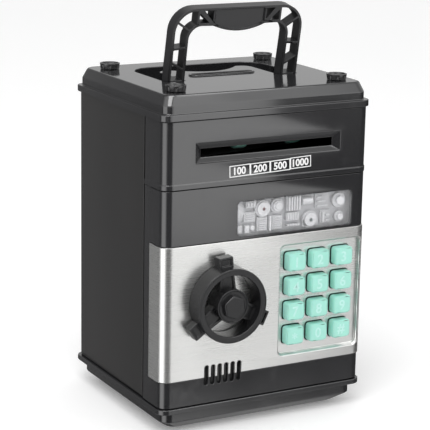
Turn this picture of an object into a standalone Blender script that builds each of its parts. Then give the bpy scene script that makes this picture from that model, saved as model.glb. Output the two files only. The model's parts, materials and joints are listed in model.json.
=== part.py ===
"""A toy ATM savings bank: a black case with a hinged door, a safe dial, a keypad, a note slot with a
feeder behind it, a coin slot and a folding carrying handle.

Sizes are in millimetres and each finished mesh is turned into metres. The front faces -Y and +Z is up.
The origin is the middle of the footprint, on the surface that the bank stands on.
"""

import math

import bmesh
import bpy
from mathutils import Matrix, Vector

MM = 0.001

# Clearances
FIT_GAP = 0.3  # between two fixed pieces that touch
RUN_GAP = 0.5  # round a piece that moves
PIN_GAP = 0.3  # between a pin and its hole, on the radius

# Overall sizes
FLANGE_WIDTH = 130.0  # over the base and cap flanges
FLANGE_DEPTH = 113.2
DECK_Z = 188.0  # top face of the cap
FLANGE_CORNER = 6.0
WALL = 2.0  # case walls
FRONT_WALL = 2.4  # walls of the door and the fascia
CORNER_STEPS = 4
ROUND_STEPS = 32

# Base
FOOT_HEIGHT = 1.0  # the part of a foot that shows
FOOT_RADIUS = 5.0
FOOT_INSET_X = 19.0
FOOT_INSET_Y = 18.6
FOOT_SEAT = 0.9
BASE_TOP = 15.7
BASE_FLANGE = 2.9
BASE_WALL_INSET = 4.0
BASE_CHAMFER_INSET = 11.3
BASE_CHAMFER_TOP = 6.6
BASE_FLOOR = 2.2

# Battery box, in the floor of the base
CELL_RADIUS = 7.1
CELL_LENGTH = 50.5
CELL_COUNT = 3
CELL_PITCH = 14.8
CONTACT_THICKNESS = 0.6
CONTACT_ROOM = 2.2  # for a contact plate at each end of the cells
BOX_WALL = 3.6
BOX_ROOF = 1.6
BOX_BACK_INSET = 35.6  # its centre, in from the back of the flange
COVER_THICKNESS = 2.2
COVER_LEDGE = 1.9
COVER_TAB_WIDTH = 12.0
COVER_TAB_REACH = 6.5
SCREW_RADIUS = 1.2
SCREW_HEAD_RADIUS = 2.8
SCREW_HEAD_HEIGHT = 0.9
COVER_SCREW_LENGTH = 8.0

# Case: side and back walls
CASE_INSET = 1.8  # side walls, from the flange
CASE_BACK_INSET = 1.6
CASE_BACK_CORNER = 5.0
CASE_FRONT_SETBACK = 2.9  # from the front's rear edges to the case
CASE_RETURN = 5.0
CASE_RETURN_THICKNESS = 1.8
LIP_THICKNESS = 1.6
LIP_GAP = 1.4
LIP_REACH = 8.5
STRIKE_WIDTH = 7.7
STRIKE_HEIGHT = 26.0
STRIKE_THICKNESS = 1.5

# Front: door below, fascia above
FRONT_INSET = 1.0  # front face and sides, from the flange
FRONT_DEPTH = 22.1  # from the front face to the rear edges of the door and the fascia
FRONT_CORNER = 5.8
SEAM_Z = 137.6
RIDGE_HEIGHT = 2.7
RIDGE_PROUD = 0.4
FEED_HINGE_EAR = 3.2

# Door hinge
HINGE_INSET = 3.3  # axis, in from the door's side face
HINGE_SETBACK = 1.1  # axis, forward of the door's rear edge
PIN_RADIUS = 1.2
PIN_BITE = 2.4  # length of a pin inside the base or the fascia
EAR_RADIUS = 3.0

# Silver plate on the door
PLATE_THICKNESS = 1.2
PLATE_PROUD = 0.6
PLATE_BOTTOM = 31.2
PLATE_TOP = 106.6
PLATE_REAR_GAP = 7.2  # from the plate's rear edges to the door's

# Keypad
TRAY_LEFT = 9.1
TRAY_RIGHT = 60.4
TRAY_BOTTOM = 37.4
TRAY_TOP = 99.9
TRAY_DEPTH = 2.9
TRAY_WALL = 1.3
TRAY_CORNER = 3.0
TRAY_BEVEL = 0.9
KEY_COLUMNS = 3
KEY_ROWS = 4
KEY_LEFT_X = 18.0
KEY_TOP_Z = 90.8
KEY_PITCH_X = 15.3
KEY_PITCH_Z = 14.2
KEY_WIDTH = 11.3
KEY_HEIGHT = 10.3
KEY_PROUD = 2.7  # above the plate's face
KEY_CORNER = 1.6
KEY_EDGE = 0.9
KEY_HOLE_GAP = 0.35
KEY_FLANGE = 0.95
KEY_FLANGE_THICKNESS = 1.0
KEY_TRAVEL = 1.1
MEMBRANE_THICKNESS = 1.0
BOARD_THICKNESS = 1.6

# Window on the door
WINDOW_LEFT = -18.9
WINDOW_RIGHT = 54.3
WINDOW_BOTTOM = 108.0
WINDOW_TOP = 128.0
WINDOW_CORNER = 2.5
LENS_THICKNESS = 0.8
RELIEF_DEPTH = 3.9
RELIEF_BASE = 1.2
RELIEF_MARGIN = 2.6
LED_RADIUS = 1.1
LED_RED_AT = (-1.4, 121.8)
LED_GREEN_AT = (29.0, 112.6)

# Speaker
SLOT_COUNT = 6
SLOT_LEFT_X = -36.6
SLOT_PITCH = 4.07
SLOT_WIDTH = 2.7
SLOT_BOTTOM = 26.4
SLOT_TOP = 38.1
SPEAKER_RADIUS = 13.0
SPEAKER_DEPTH = 6.5

# Safe dial
DIAL_X = -27.8
DIAL_Z = 73.9
DIAL_RADIUS = 20.8
DIAL_RIM = 3.6
DIAL_PROUD = 12.5
DIAL_STANDOFF = 0.7
DIAL_TURN = math.radians(4.5)  # how far the spokes stand from upright
HUB_RADIUS = 9.4
SPOKE_COUNT = 3
SPOKE_REACH = 26.2
SPOKE_ROOT_WIDTH = 11.0
SPOKE_TIP_WIDTH = 8.4
SPOKE_SETBACK = 5.0
SPOKE_DEPTH = 5.9
SPOKE_BORDER = 1.2
SPOKE_POCKET = 0.8
BOLT_ACROSS = 12.0
BOLT_EDGE = 0.7
BOLT_TURN = math.radians(9)
BOLT_PROUD = 2.6
BOLT_SEAT = 1.5
BOLT_SHANK_RADIUS = 1.5
BOLT_SHANK_LENGTH = 8.0
SPINDLE_RADIUS = 2.5
SPINDLE_FRONT = 6.0  # behind the hub's front face

# Latch, behind the door
BACK_COVER_THICKNESS = 1.8
CAM_RADIUS = 9.0
CAM_THICKNESS = 2.0
CAM_STANDOFF = 4.5  # behind the door's rear edge
TONGUE_REACH = 27.4
TONGUE_WIDTH = 8.0
NOTCH_WIDTH = 4.4
NOTCH_DEPTH = 4.2
PLUNGER_RADIUS = 1.6
PLUNGER_LENGTH = 16.0
SOLENOID_WIDTH = 16.0
SOLENOID_DEPTH = 9.0
SOLENOID_HEIGHT = 18.0
SOLENOID_GAP = 6.8  # above the cam

# Note slot and feeder
NOTE_SLOT_HALF = 40.8
NOTE_SLOT_BOTTOM = 154.0
NOTE_SLOT_TOP = 158.3
NOTE_FUNNEL_HALF = 45.0
NOTE_FUNNEL_BOTTOM = 151.1
NOTE_FUNNEL_TOP = 162.2
NOTE_FUNNEL_DEPTH = 2.4
NOTE_BLOCK_MARGIN = 2.4
NOTE_BLOCK_DEPTH = 6.0
FEED_SETBACK = 13.6  # of the feed shaft, from the front face
FEED_WHEEL_RADIUS = 7.0
FEED_WHEEL_WIDTH = 7.0
FEED_WHEEL_X = 16.8  # from the middle of the pair
FEED_MIDDLE_X = 4.4
FEED_SHAFT_RADIUS = 1.5
FEED_PINCH = 0.8  # from the tray up to the wheels
TRAY_HALF = 43.0
FEED_TRAY_THICKNESS = 1.6
FEED_TRAY_SETBACK = 6.8  # from the front face to the tray
FEED_TRAY_LENGTH = 17.8
CHEEK_THICKNESS = 2.0
CHEEK_TOP = 171.0
GEAR_MODULE = 0.6
GEAR_TEETH = 20
PINION_TEETH = 10
GEAR_PLAY = 0.3
GEAR_WIDTH = 3.0
GEAR_STANDOFF = 1.2
MOTOR_RADIUS = 7.0
MOTOR_LENGTH = 15.0
MOTOR_SHAFT_RADIUS = 1.0

# Cap
CAP_FLANGE_BOTTOM = 174.4
CAP_FLANGE_TOP = 178.1
CAP_CHAMFER_BOTTOM = 182.3
CAP_WALL_INSET = 2.0
CAP_DECK_INSET = 4.2
CAP_DECK_THICKNESS = 2.3
CAP_WALL = 2.6
STUD_INSET_X = 14.8  # centres, in from the flange
STUD_FRONT_INSET = 15.1
STUD_BACK_INSET = 16.4
STUD_RADIUS = 5.75
STUD_HEIGHT = 3.5
STUD_TAPER = 0.45
STUD_RIM = 1.0
STUD_DISH = 1.3
STUD_FLUTES = 8
STUD_FLUTE_RADIUS = 1.1
STUD_FLUTE_DEPTH = 0.5
STUD_FLUTE_TOP = 0.7  # from the top rim down
STUD_PEG_RADIUS = 2.2
COIN_SLOT_X = 0.6
COIN_SLOT_Y = 0.5
COIN_SLOT_LENGTH = 38.6
COIN_SLOT_WIDTH = 4.4
COIN_LIP = 1.5
COIN_LIP_HEIGHT = 0.8
CHUTE_WALL = 1.5
CHUTE_DROP = 17.0
CHUTE_ROOM = 3.0

# Carrying handle
PIVOT_Y = -9.0
PIVOT_Z = 184.0
HANDLE_LEAN = math.radians(11.0)
HANDLE_HALF = 40.6
HANDLE_HEIGHT = 45.7  # over the pivot
HANDLE_BAR = 10.0  # from the outer rail's outside to the inner rail's inside
HANDLE_RAIL = 1.6
HANDLE_WEB = 1.3
HANDLE_DEPTH = 7.3
HANDLE_OUTER_CORNER = 13.5
HANDLE_INNER_CORNER = 7.5
GRIP_HALF = 16.6
GRIP_BELLY = 3.7
GRIP_RECESS = 0.8  # how far the grip's panel stands back from its rim
GRIP_RIM = 1.2
WINDOW_FOOT = 5.2  # height of the lowest window over the pivot
WEB_LOW = (11.2, 15.0)  # heights of the leg's slanted web, at its inner and outer rail
WEB_HIGH = (23.6, 23.1)
CORNER_WEB_INNER = 35.0  # degrees round the corners, where the corner's web ends
CORNER_WEB_OUTER = 29.0
POST_X = 25.6
BRACE_FOOT_X = 17.6
BRACE_TOP_X = 24.0
TRUNNION_RADIUS = 1.6
TRUNNION_REACH = 1.9
TROUGH_GAP = 1.0
TROUGH_END_GAP = 0.4
TROUGH_FLOOR_GAP = 0.9
TROUGH_WALL = 2.0
ISLAND_BACK_Y = 22.8
ISLAND_CORNER = 6.0
ISLAND_SCOOP_Y = 11.0
ISLAND_SCOOP_HALF = 21.5

# Worked out from the sizes above
HALF_WIDTH = FLANGE_WIDTH / 2
HALF_DEPTH = FLANGE_DEPTH / 2
FRONT_X = HALF_WIDTH - FRONT_INSET
FRONT_Y = -(HALF_DEPTH - FRONT_INSET)
PLATE_Y = FRONT_Y - PLATE_PROUD
FRONT_REAR_Y = FRONT_Y + FRONT_DEPTH
CASE_FRONT_Y = FRONT_REAR_Y + CASE_FRONT_SETBACK
FEED_Y = FRONT_Y + FEED_SETBACK
FEED_TRAY_FRONT = FRONT_Y + FEED_TRAY_SETBACK
FEED_TRAY_REAR = FEED_TRAY_FRONT + FEED_TRAY_LENGTH
PLATE_REAR_Y = FRONT_REAR_Y - PLATE_REAR_GAP
CASE_X = HALF_WIDTH - CASE_INSET
BOX_CENTRE_Y = HALF_DEPTH - BOX_BACK_INSET
STUD_X = HALF_WIDTH - STUD_INSET_X
STUD_FRONT_Y = -(HALF_DEPTH - STUD_FRONT_INSET)
STUD_BACK_Y = HALF_DEPTH - STUD_BACK_INSET
CASE_BACK_Y = HALF_DEPTH - CASE_BACK_INSET
DOOR_BOTTOM = BASE_TOP + RUN_GAP
DOOR_TOP = SEAM_Z - RUN_GAP
HINGE_X = FRONT_X - HINGE_INSET
HINGE_Y = FRONT_REAR_Y - HINGE_SETBACK
TRAY_FLOOR_Y = PLATE_Y + TRAY_DEPTH
KEY_FLANGE_Y = TRAY_FLOOR_Y + PLATE_THICKNESS + FIT_GAP
MEMBRANE_Y = KEY_FLANGE_Y + KEY_FLANGE_THICKNESS + KEY_TRAVEL + FIT_GAP
BOARD_Y = MEMBRANE_Y + MEMBRANE_THICKNESS + FIT_GAP
LENS_BACK_Y = FRONT_Y + LENS_THICKNESS
RELIEF_TOP_Y = LENS_BACK_Y + FIT_GAP
RELIEF_BASE_Y = RELIEF_TOP_Y + RELIEF_DEPTH
MAIN_BOARD_Y = RELIEF_BASE_Y + RELIEF_BASE + 3.0
DIAL_FRONT_Y = PLATE_Y - DIAL_PROUD
DIAL_BACK_Y = PLATE_Y - DIAL_STANDOFF
BACK_COVER_Y = FRONT_REAR_Y - BACK_COVER_THICKNESS - RUN_GAP
CAM_Y = FRONT_REAR_Y + CAM_STANDOFF
PIN_RADIUS_HOLE = PIN_RADIUS + PIN_GAP
FEED_TRAY_Z = NOTE_SLOT_BOTTOM - 0.3
FEED_Z = FEED_TRAY_Z + FEED_PINCH + FEED_WHEEL_RADIUS
CELL_Z = FOOT_HEIGHT + COVER_THICKNESS + FIT_GAP * 3 + CELL_RADIUS
BAY_TOP = CELL_Z + CELL_RADIUS + RUN_GAP
BAY_HALF_X = CELL_LENGTH / 2 + CONTACT_ROOM
BAY_HALF_Y = CELL_PITCH * CELL_COUNT / 2
TROUGH_X = HANDLE_HALF + TROUGH_GAP
TROUGH_BACK_Y = PIVOT_Y + HANDLE_HEIGHT + TROUGH_END_GAP
TROUGH_FLOOR = PIVOT_Z - HANDLE_DEPTH / 2 - TROUGH_FLOOR_GAP
ISLAND_X = HANDLE_HALF - HANDLE_BAR - TROUGH_GAP

# Colours, linear RGB, with roughness and metallic values
FINISHES = {
    "black_case": ((0.022, 0.022, 0.024), 0.32, 0.0),
    "black_matt": ((0.03, 0.03, 0.032), 0.5, 0.0),
    "silver": ((0.6, 0.6, 0.59), 0.35, 0.7),
    "mint": ((0.42, 0.83, 0.7), 0.4, 0.0),
    "clear": ((0.8, 0.85, 0.85), 0.08, 0.0),
    "relief": ((0.62, 0.62, 0.65), 0.4, 0.3),
    "red_led": ((0.6, 0.02, 0.02), 0.2, 0.0),
    "green_led": ((0.02, 0.25, 0.12), 0.2, 0.0),
    "steel": ((0.55, 0.55, 0.56), 0.35, 1.0),
    "board": ((0.02, 0.16, 0.07), 0.5, 0.0),
    "rubber": ((0.05, 0.05, 0.05), 0.8, 0.0),
    "cell": ((0.1, 0.25, 0.1), 0.4, 0.2),
    "copper": ((0.5, 0.28, 0.12), 0.4, 0.8),
}


def clear_scene():
    for obj in list(bpy.data.objects):
        bpy.data.objects.remove(obj, do_unlink=True)


def material(name, finish):
    """One Principled material for one piece."""
    colour, roughness, metallic = FINISHES[finish]
    made = bpy.data.materials.new(name)
    made.use_nodes = True
    shader = made.node_tree.nodes["Principled BSDF"]
    shader.inputs["Base Color"].default_value = (*colour, 1.0)
    shader.inputs["Roughness"].default_value = roughness
    shader.inputs["Metallic"].default_value = metallic
    return made


# Outlines, as lists of points in a plane


def arc(centre, radius, start, end, steps):
    """Points on a circle, from one angle to another in degrees, both ends included."""
    angles = [math.radians(start + (end - start) * i / steps) for i in range(steps + 1)]
    return [(centre[0] + radius * math.cos(a), centre[1] + radius * math.sin(a)) for a in angles]


def box_outline(left, right, low, high, radii=0.0, steps=CORNER_STEPS):
    """A rectangle with round corners. radii is one value, or four, counter-clockwise from left and low."""
    if not isinstance(radii, tuple):
        radii = (radii,) * 4
    corners = ((left, low, 1, 1), (right, low, -1, 1), (right, high, -1, -1), (left, high, 1, -1))
    points = []
    for (x, y, inward_x, inward_y), radius, start in zip(corners, radii, (180, 270, 0, 90)):
        if radius <= 0:
            points.append((x, y))
            continue
        centre = (x + inward_x * radius, y + inward_y * radius)
        points += arc(centre, radius, start, start + 90, steps)
    return points


def circle_outline(centre, radius, steps=ROUND_STEPS):
    return arc(centre, radius, 0, 360 * (steps - 1) / steps, steps - 1)


def stadium_outline(centre, length, width, steps=6):
    """A slot with round ends, along the first axis of its plane."""
    half = (length - width) / 2
    right = arc((centre[0] + half, centre[1]), width / 2, -90, 90, steps)
    left = arc((centre[0] - half, centre[1]), width / 2, 90, 270, steps)
    return right + left


def turned(points, angle, centre=(0.0, 0.0)):
    """The points turned about a centre, counter-clockwise in their own plane."""
    cos, sin = math.cos(angle), math.sin(angle)
    found = []
    for x, y in points:
        dx, dy = x - centre[0], y - centre[1]
        found.append((centre[0] + dx * cos - dy * sin, centre[1] + dx * sin + dy * cos))
    return found


def gear_outline(centre, module, teeth, phase):
    """A toothed wheel with straight-sided teeth that narrow towards their tips."""
    pitch = module * teeth / 2
    root, tip = pitch - 1.15 * module, pitch + 0.75 * module
    step = 2 * math.pi / teeth
    points = []
    for tooth in range(teeth):
        middle = phase + tooth * step
        flank = ((root, 0.33), (pitch, 0.2), (tip, 0.09))
        rising = [(radius, -share) for radius, share in flank]
        for radius, share in rising + list(reversed(flank)):
            angle = middle + share * step
            points.append((centre[0] + radius * math.cos(angle), centre[1] + radius * math.sin(angle)))
    return points


# Solids

PLANES = {
    "X": lambda a, b, height: (height, a, b),  # outline in Y and Z
    "Y": lambda a, b, height: (a, height, b),  # outline in X and Z
    "Z": lambda a, b, height: (a, b, height),  # outline in X and Y
}


def lofted(sections, axis="Z"):
    """A closed solid through outlines of equal length, each given with its height along the axis."""
    mesh = bmesh.new()
    rings = []
    for outline, height in sections:
        rings.append([mesh.verts.new(PLANES[axis](a, b, height)) for a, b in outline])
    for lower, upper in zip(rings, rings[1:]):
        for i in range(len(lower)):
            j = (i + 1) % len(lower)
            mesh.faces.new((lower[i], lower[j], upper[j], upper[i]))
    mesh.faces.new(rings[0][::-1])
    mesh.faces.new(rings[-1])
    bmesh.ops.recalc_face_normals(mesh, faces=mesh.faces[:])
    return mesh


def prism(outline, low, high, axis="Z"):
    return lofted([(outline, low), (outline, high)], axis)


def block(x, y, z):
    """A box from three pairs of limits."""
    return prism(box_outline(x[0], x[1], y[0], y[1]), z[0], z[1])


def rod(centre, radius, low, high, axis="Z", steps=ROUND_STEPS):
    return prism(circle_outline(centre, radius, steps), low, high, axis)


def lathed(profile, centre, axis, steps=ROUND_STEPS):
    """A closed solid turned about a line along the axis.

    profile is a closed loop of (radius, height) points.
    """
    mesh = bmesh.new()
    rings = []
    for step in range(steps):
        angle = 2 * math.pi * step / steps
        ring = []
        for radius, height in profile:
            a, b = centre[0] + radius * math.cos(angle), centre[1] + radius * math.sin(angle)
            ring.append(mesh.verts.new(PLANES[axis](a, b, height)))
        rings.append(ring)
    count = len(profile)
    for step, ring in enumerate(rings):
        after = rings[(step + 1) % steps]
        for i in range(count):
            j = (i + 1) % count
            mesh.faces.new((ring[i], ring[j], after[j], after[i]))
    bmesh.ops.remove_doubles(mesh, verts=mesh.verts[:], dist=1e-5)
    bmesh.ops.recalc_face_normals(mesh, faces=mesh.faces[:])
    return mesh


def together(*meshes):
    """Several separate closed shapes as one mesh, for a cutter or for a helper."""
    whole = bmesh.new()
    for mesh in meshes:
        store = bpy.data.meshes.new("part")
        mesh.to_mesh(store)
        mesh.free()
        whole.from_mesh(store)
        bpy.data.meshes.remove(store)
    return whole


def as_object(name, mesh, origin=(0.0, 0.0, 0.0)):
    """Turns a mesh in millimetres into an object in metres whose origin is the given point."""
    bmesh.ops.translate(mesh, verts=mesh.verts[:], vec=-Vector(origin))
    bmesh.ops.scale(mesh, verts=mesh.verts[:], vec=(MM, MM, MM))
    data = bpy.data.meshes.new(name)
    mesh.to_mesh(data)
    mesh.free()
    obj = bpy.data.objects.new(name, data)
    obj.location = Vector(origin) * MM
    bpy.context.scene.collection.objects.link(obj)
    return obj


def piece(name, mesh, finish, origin=(0.0, 0.0, 0.0)):
    """A visible sub-part."""
    obj = as_object(name, mesh, origin)
    obj.data.materials.append(material(name, finish))
    obj.data.shade_smooth()
    obj.data.set_sharp_from_angle(angle=math.radians(35))
    return obj


def boolean(obj, mesh, operation):
    """Cuts a helper shape out of an object, or joins it on, with a live modifier."""
    label = f"{operation.lower()}_{len(obj.modifiers)}_{obj.name}"
    tool = as_object(label, mesh)
    tool.hide_render = True
    tool.display_type = "WIRE"
    modifier = obj.modifiers.new(label, "BOOLEAN")
    modifier.operation = operation
    modifier.object = tool
    modifier.solver = "EXACT"


def cut(obj, mesh):
    boolean(obj, mesh, "DIFFERENCE")


def join(obj, mesh):
    boolean(obj, mesh, "UNION")


def moved(mesh, pivot, angle, axis):
    """The mesh turned about a line through the pivot."""
    bmesh.ops.rotate(mesh, verts=mesh.verts[:], cent=Vector(pivot), matrix=Matrix.Rotation(angle, 3, axis))
    return mesh


def ring_outline(inset, corner):
    """The footprint of the flanges, drawn in by an inset."""
    return box_outline(
        -HALF_WIDTH + inset, HALF_WIDTH - inset, -HALF_DEPTH + inset, HALF_DEPTH - inset, corner
    )


def front_outline(proud, rear_y=FRONT_REAR_Y, corner=FRONT_CORNER):
    """The plan of the door and the fascia, with round front corners."""
    radius = corner + proud
    return box_outline(-FRONT_X - proud, FRONT_X + proud, FRONT_Y - proud, rear_y, (radius, radius, 0, 0))


# Base


def build_base():
    bottom = FOOT_HEIGHT
    flange_bottom = BASE_TOP - BASE_FLANGE
    pan = piece(
        "base_pan",
        lofted(
            [
                (ring_outline(BASE_CHAMFER_INSET, FLANGE_CORNER), bottom),
                (ring_outline(BASE_WALL_INSET, FLANGE_CORNER), BASE_CHAMFER_TOP),
                (ring_outline(BASE_WALL_INSET, FLANGE_CORNER), flange_bottom),
                (ring_outline(0, FLANGE_CORNER), flange_bottom),
                (ring_outline(0, FLANGE_CORNER), BASE_TOP),
            ]
        ),
        "black_case",
    )
    inner_wall = BASE_WALL_INSET + WALL + 0.2
    cut(
        pan,
        lofted(
            [
                (ring_outline(BASE_CHAMFER_INSET + WALL, FLANGE_CORNER / 2), bottom + BASE_FLOOR),
                (ring_outline(inner_wall, FLANGE_CORNER / 2), BASE_CHAMFER_TOP + WALL),
                (ring_outline(inner_wall, FLANGE_CORNER / 2), BASE_TOP + 1),
            ]
        ),
    )
    outer_x, outer_y = BAY_HALF_X + BOX_WALL, BAY_HALF_Y + BOX_WALL
    low = bottom + BASE_FLOOR / 2
    join(
        pan,
        block(
            (-outer_x, outer_x), (BOX_CENTRE_Y - outer_y, BOX_CENTRE_Y + outer_y), (low, BAY_TOP + BOX_ROOF)
        ),
    )
    tab_front = BOX_CENTRE_Y - BAY_HALF_Y - COVER_LEDGE - COVER_TAB_REACH
    tab_half = COVER_TAB_WIDTH / 2
    screw_y = tab_front + COVER_TAB_REACH / 2
    join(
        pan,
        block(
            (-tab_half - WALL, tab_half + WALL),
            (tab_front - WALL, BOX_CENTRE_Y - BAY_HALF_Y - 1),
            (low + 0.1, bottom + COVER_THICKNESS + COVER_SCREW_LENGTH + WALL),
        ),
    )
    hinge_x = HALF_WIDTH - inner_wall
    join(
        pan,
        block(
            (hinge_x - 4, hinge_x + 1),
            (HINGE_Y - 4.5, HINGE_Y + 4.5),
            (BASE_CHAMFER_TOP + 1, BASE_TOP - 0.01),
        ),
    )
    ledge = bottom + COVER_THICKNESS + FIT_GAP * 2
    cut(
        pan,
        block(
            (-BAY_HALF_X, BAY_HALF_X),
            (BOX_CENTRE_Y - BAY_HALF_Y, BOX_CENTRE_Y + BAY_HALF_Y),
            (bottom - 1, BAY_TOP),
        ),
    )
    rebate = COVER_LEDGE + FIT_GAP
    cut(
        pan,
        block(
            (-BAY_HALF_X - rebate, BAY_HALF_X + rebate),
            (BOX_CENTRE_Y - BAY_HALF_Y - rebate, BOX_CENTRE_Y + BAY_HALF_Y + rebate),
            (bottom - 1.1, ledge),
        ),
    )
    cut(
        pan,
        block(
            (-tab_half - FIT_GAP, tab_half + FIT_GAP),
            (tab_front - FIT_GAP, BOX_CENTRE_Y - BAY_HALF_Y - 1),
            (bottom - 1.2, ledge),
        ),
    )
    cut(pan, rod((0, screw_y), SCREW_RADIUS + PIN_GAP, ledge - 0.5, ledge + COVER_SCREW_LENGTH, steps=16))
    cut(
        pan, rod((HINGE_X, HINGE_Y), PIN_RADIUS_HOLE, BASE_TOP - PIN_BITE - FIT_GAP, BASE_TOP + 1, steps=16)
    )
    seats = [
        rod(
            (x, y), FOOT_RADIUS + FIT_GAP, bottom - 1, bottom + FOOT_SEAT, steps=24
        ) for x, y in foot_places()
    ]
    cut(pan, together(*seats))

    cover = piece(
        "battery_cover",
        block(
            (-BAY_HALF_X - COVER_LEDGE, BAY_HALF_X + COVER_LEDGE),
            (BOX_CENTRE_Y - BAY_HALF_Y - COVER_LEDGE, BOX_CENTRE_Y + BAY_HALF_Y + COVER_LEDGE),
            (bottom + FIT_GAP, bottom + FIT_GAP + COVER_THICKNESS),
        ),
        "black_case",
    )
    join(
        cover,
        block(
            (-tab_half, tab_half),
            (tab_front, BOX_CENTRE_Y),
            (bottom + FIT_GAP, bottom + FIT_GAP + COVER_THICKNESS),
        ),
    )
    cut(cover, rod((0, screw_y), SCREW_RADIUS + PIN_GAP, bottom - 1, ledge + 1, steps=16))
    head_top = bottom + FIT_GAP + SCREW_HEAD_HEIGHT
    cut(cover, rod((0, screw_y), SCREW_HEAD_RADIUS + PIN_GAP, bottom - 1.1, head_top + FIT_GAP, steps=24))
    screw(
        "battery_cover_screw",
        (0, screw_y, bottom + FIT_GAP),
        SCREW_HEAD_RADIUS,
        SCREW_HEAD_HEIGHT,
        COVER_SCREW_LENGTH,
    )
    for number, (x, y) in enumerate(foot_places(), 1):
        piece(
            f"foot_{number}", rod((x, y), FOOT_RADIUS, 0, bottom + FOOT_SEAT - FIT_GAP, steps=24), "rubber"
        )


def foot_places():
    x, y = HALF_WIDTH - FOOT_INSET_X, HALF_DEPTH - FOOT_INSET_Y
    return ((-x, -y), (x, -y), (x, y), (-x, y))


def screw(name, base, head_radius, head_height, length):
    """A screw that points up from the outer face of its head, with a cross recess."""
    x, y, z = base
    obj = piece(
        name,
        lathed(
            [
                (0, z),
                (head_radius, z),
                (head_radius, z + head_height),
                (SCREW_RADIUS, z + head_height),
                (SCREW_RADIUS, z + length - 1),
                (0, z + length),
            ],
            (x, y),
            "Z",
            16,
        ),
        "steel",
    )
    arm, width, deep = head_radius * 0.6, head_radius * 0.14, head_height * 0.6
    cut(obj, block((x - arm, x + arm), (y - width, y + width), (z - 1, z + deep)))
    cut(obj, block((x - width, x + width), (y - arm, y + arm), (z - 1.1, z + deep * 0.9)))


def build_batteries():
    reach = CELL_LENGTH / 2
    for index in range(CELL_COUNT):
        y = BOX_CENTRE_Y + (index - (CELL_COUNT - 1) / 2) * CELL_PITCH
        way = 1 if index % 2 else -1
        profile = [
            (0, -way * (reach - 1.2)),
            (CELL_RADIUS, -way * (reach - 1.2)),
            (CELL_RADIUS, way * (reach - 1.4)),
            (2.6, way * (reach - 1.2)),
            (2.6, way * reach),
            (0, way * reach),
        ]
        piece(f"battery_cell_{index + 1}", lathed(profile, (y, CELL_Z), "X", 24), "cell")
    for side, name in ((-1, "battery_contact_left"), (1, "battery_contact_right")):
        outside = side * (BAY_HALF_X - FIT_GAP)
        inside = outside - side * CONTACT_THICKNESS
        piece(
            name,
            block(
                (min(outside, inside), max(outside, inside)),
                (BOX_CENTRE_Y - BAY_HALF_Y + 1, BOX_CENTRE_Y + BAY_HALF_Y - 1),
                (CELL_Z - CELL_RADIUS + 2, CELL_Z + CELL_RADIUS - 1),
            ),
            "steel",
        )


# Case


def build_case():
    low, high = BASE_TOP + FIT_GAP, CAP_FLANGE_BOTTOM - FIT_GAP
    corner = (0, 0, CASE_BACK_CORNER, CASE_BACK_CORNER)
    shell = piece(
        "case_shell",
        prism(box_outline(-CASE_X, CASE_X, CASE_FRONT_Y, CASE_BACK_Y, corner), low, high),
        "black_case",
    )
    inner_corner = (0, 0, CASE_BACK_CORNER - WALL, CASE_BACK_CORNER - WALL)
    inner = CASE_X - WALL
    cut(
        shell,
        prism(
            box_outline(
                -inner, inner, CASE_FRONT_Y + CASE_RETURN_THICKNESS, CASE_BACK_Y - WALL, inner_corner
            ),
            low - 1,
            high + 1,
        ),
    )
    mouth = inner - CASE_RETURN
    cut(
        shell,
        block((-mouth, mouth), (CASE_FRONT_Y - 1, CASE_FRONT_Y + CASE_RETURN_THICKNESS + 1), (0, high + 2)),
    )
    lip_outside = FRONT_X - FRONT_WALL - LIP_GAP
    lip_front = CASE_FRONT_Y - LIP_REACH
    door_room = FRONT_WALL + RUN_GAP * 2
    spans = (
        (-1, DOOR_BOTTOM + door_room, DOOR_TOP - door_room),
        (-1, SEAM_Z + RIDGE_HEIGHT + RUN_GAP, high - 1),
        (1, SEAM_Z + RIDGE_HEIGHT + RUN_GAP, high - 1.1),
    )
    for side, bottom, top in spans:
        edges = sorted((side * lip_outside, side * (lip_outside - LIP_THICKNESS)))
        join(shell, block(edges, (lip_front, CASE_FRONT_Y + CASE_RETURN_THICKNESS / 2), (bottom, top)))

    strike_left = -(lip_outside - LIP_THICKNESS - RUN_GAP)
    strike_y = CASE_FRONT_Y - FIT_GAP
    strike = piece(
        "strike_plate",
        prism(
            box_outline(
                strike_left,
                strike_left + STRIKE_WIDTH,
                DIAL_Z - STRIKE_HEIGHT / 2,
                DIAL_Z + STRIKE_HEIGHT / 2,
                1.5,
            ),
            strike_y - STRIKE_THICKNESS,
            strike_y,
            "Y",
        ),
        "steel",
    )
    for offset in (-STRIKE_HEIGHT / 3, STRIKE_HEIGHT / 3):
        centre = (strike_left + 1.9, DIAL_Z + offset)
        cut(strike, rod(centre, 0.9, strike_y - STRIKE_THICKNESS - 1, strike_y + 1, "Y", 12))


# Door


def door_ear(z_low, z_high):
    """The hinge eye: a round boss about the hinge axis."""
    return rod((HINGE_X, HINGE_Y), EAR_RADIUS, z_low, z_high, steps=24)


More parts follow.
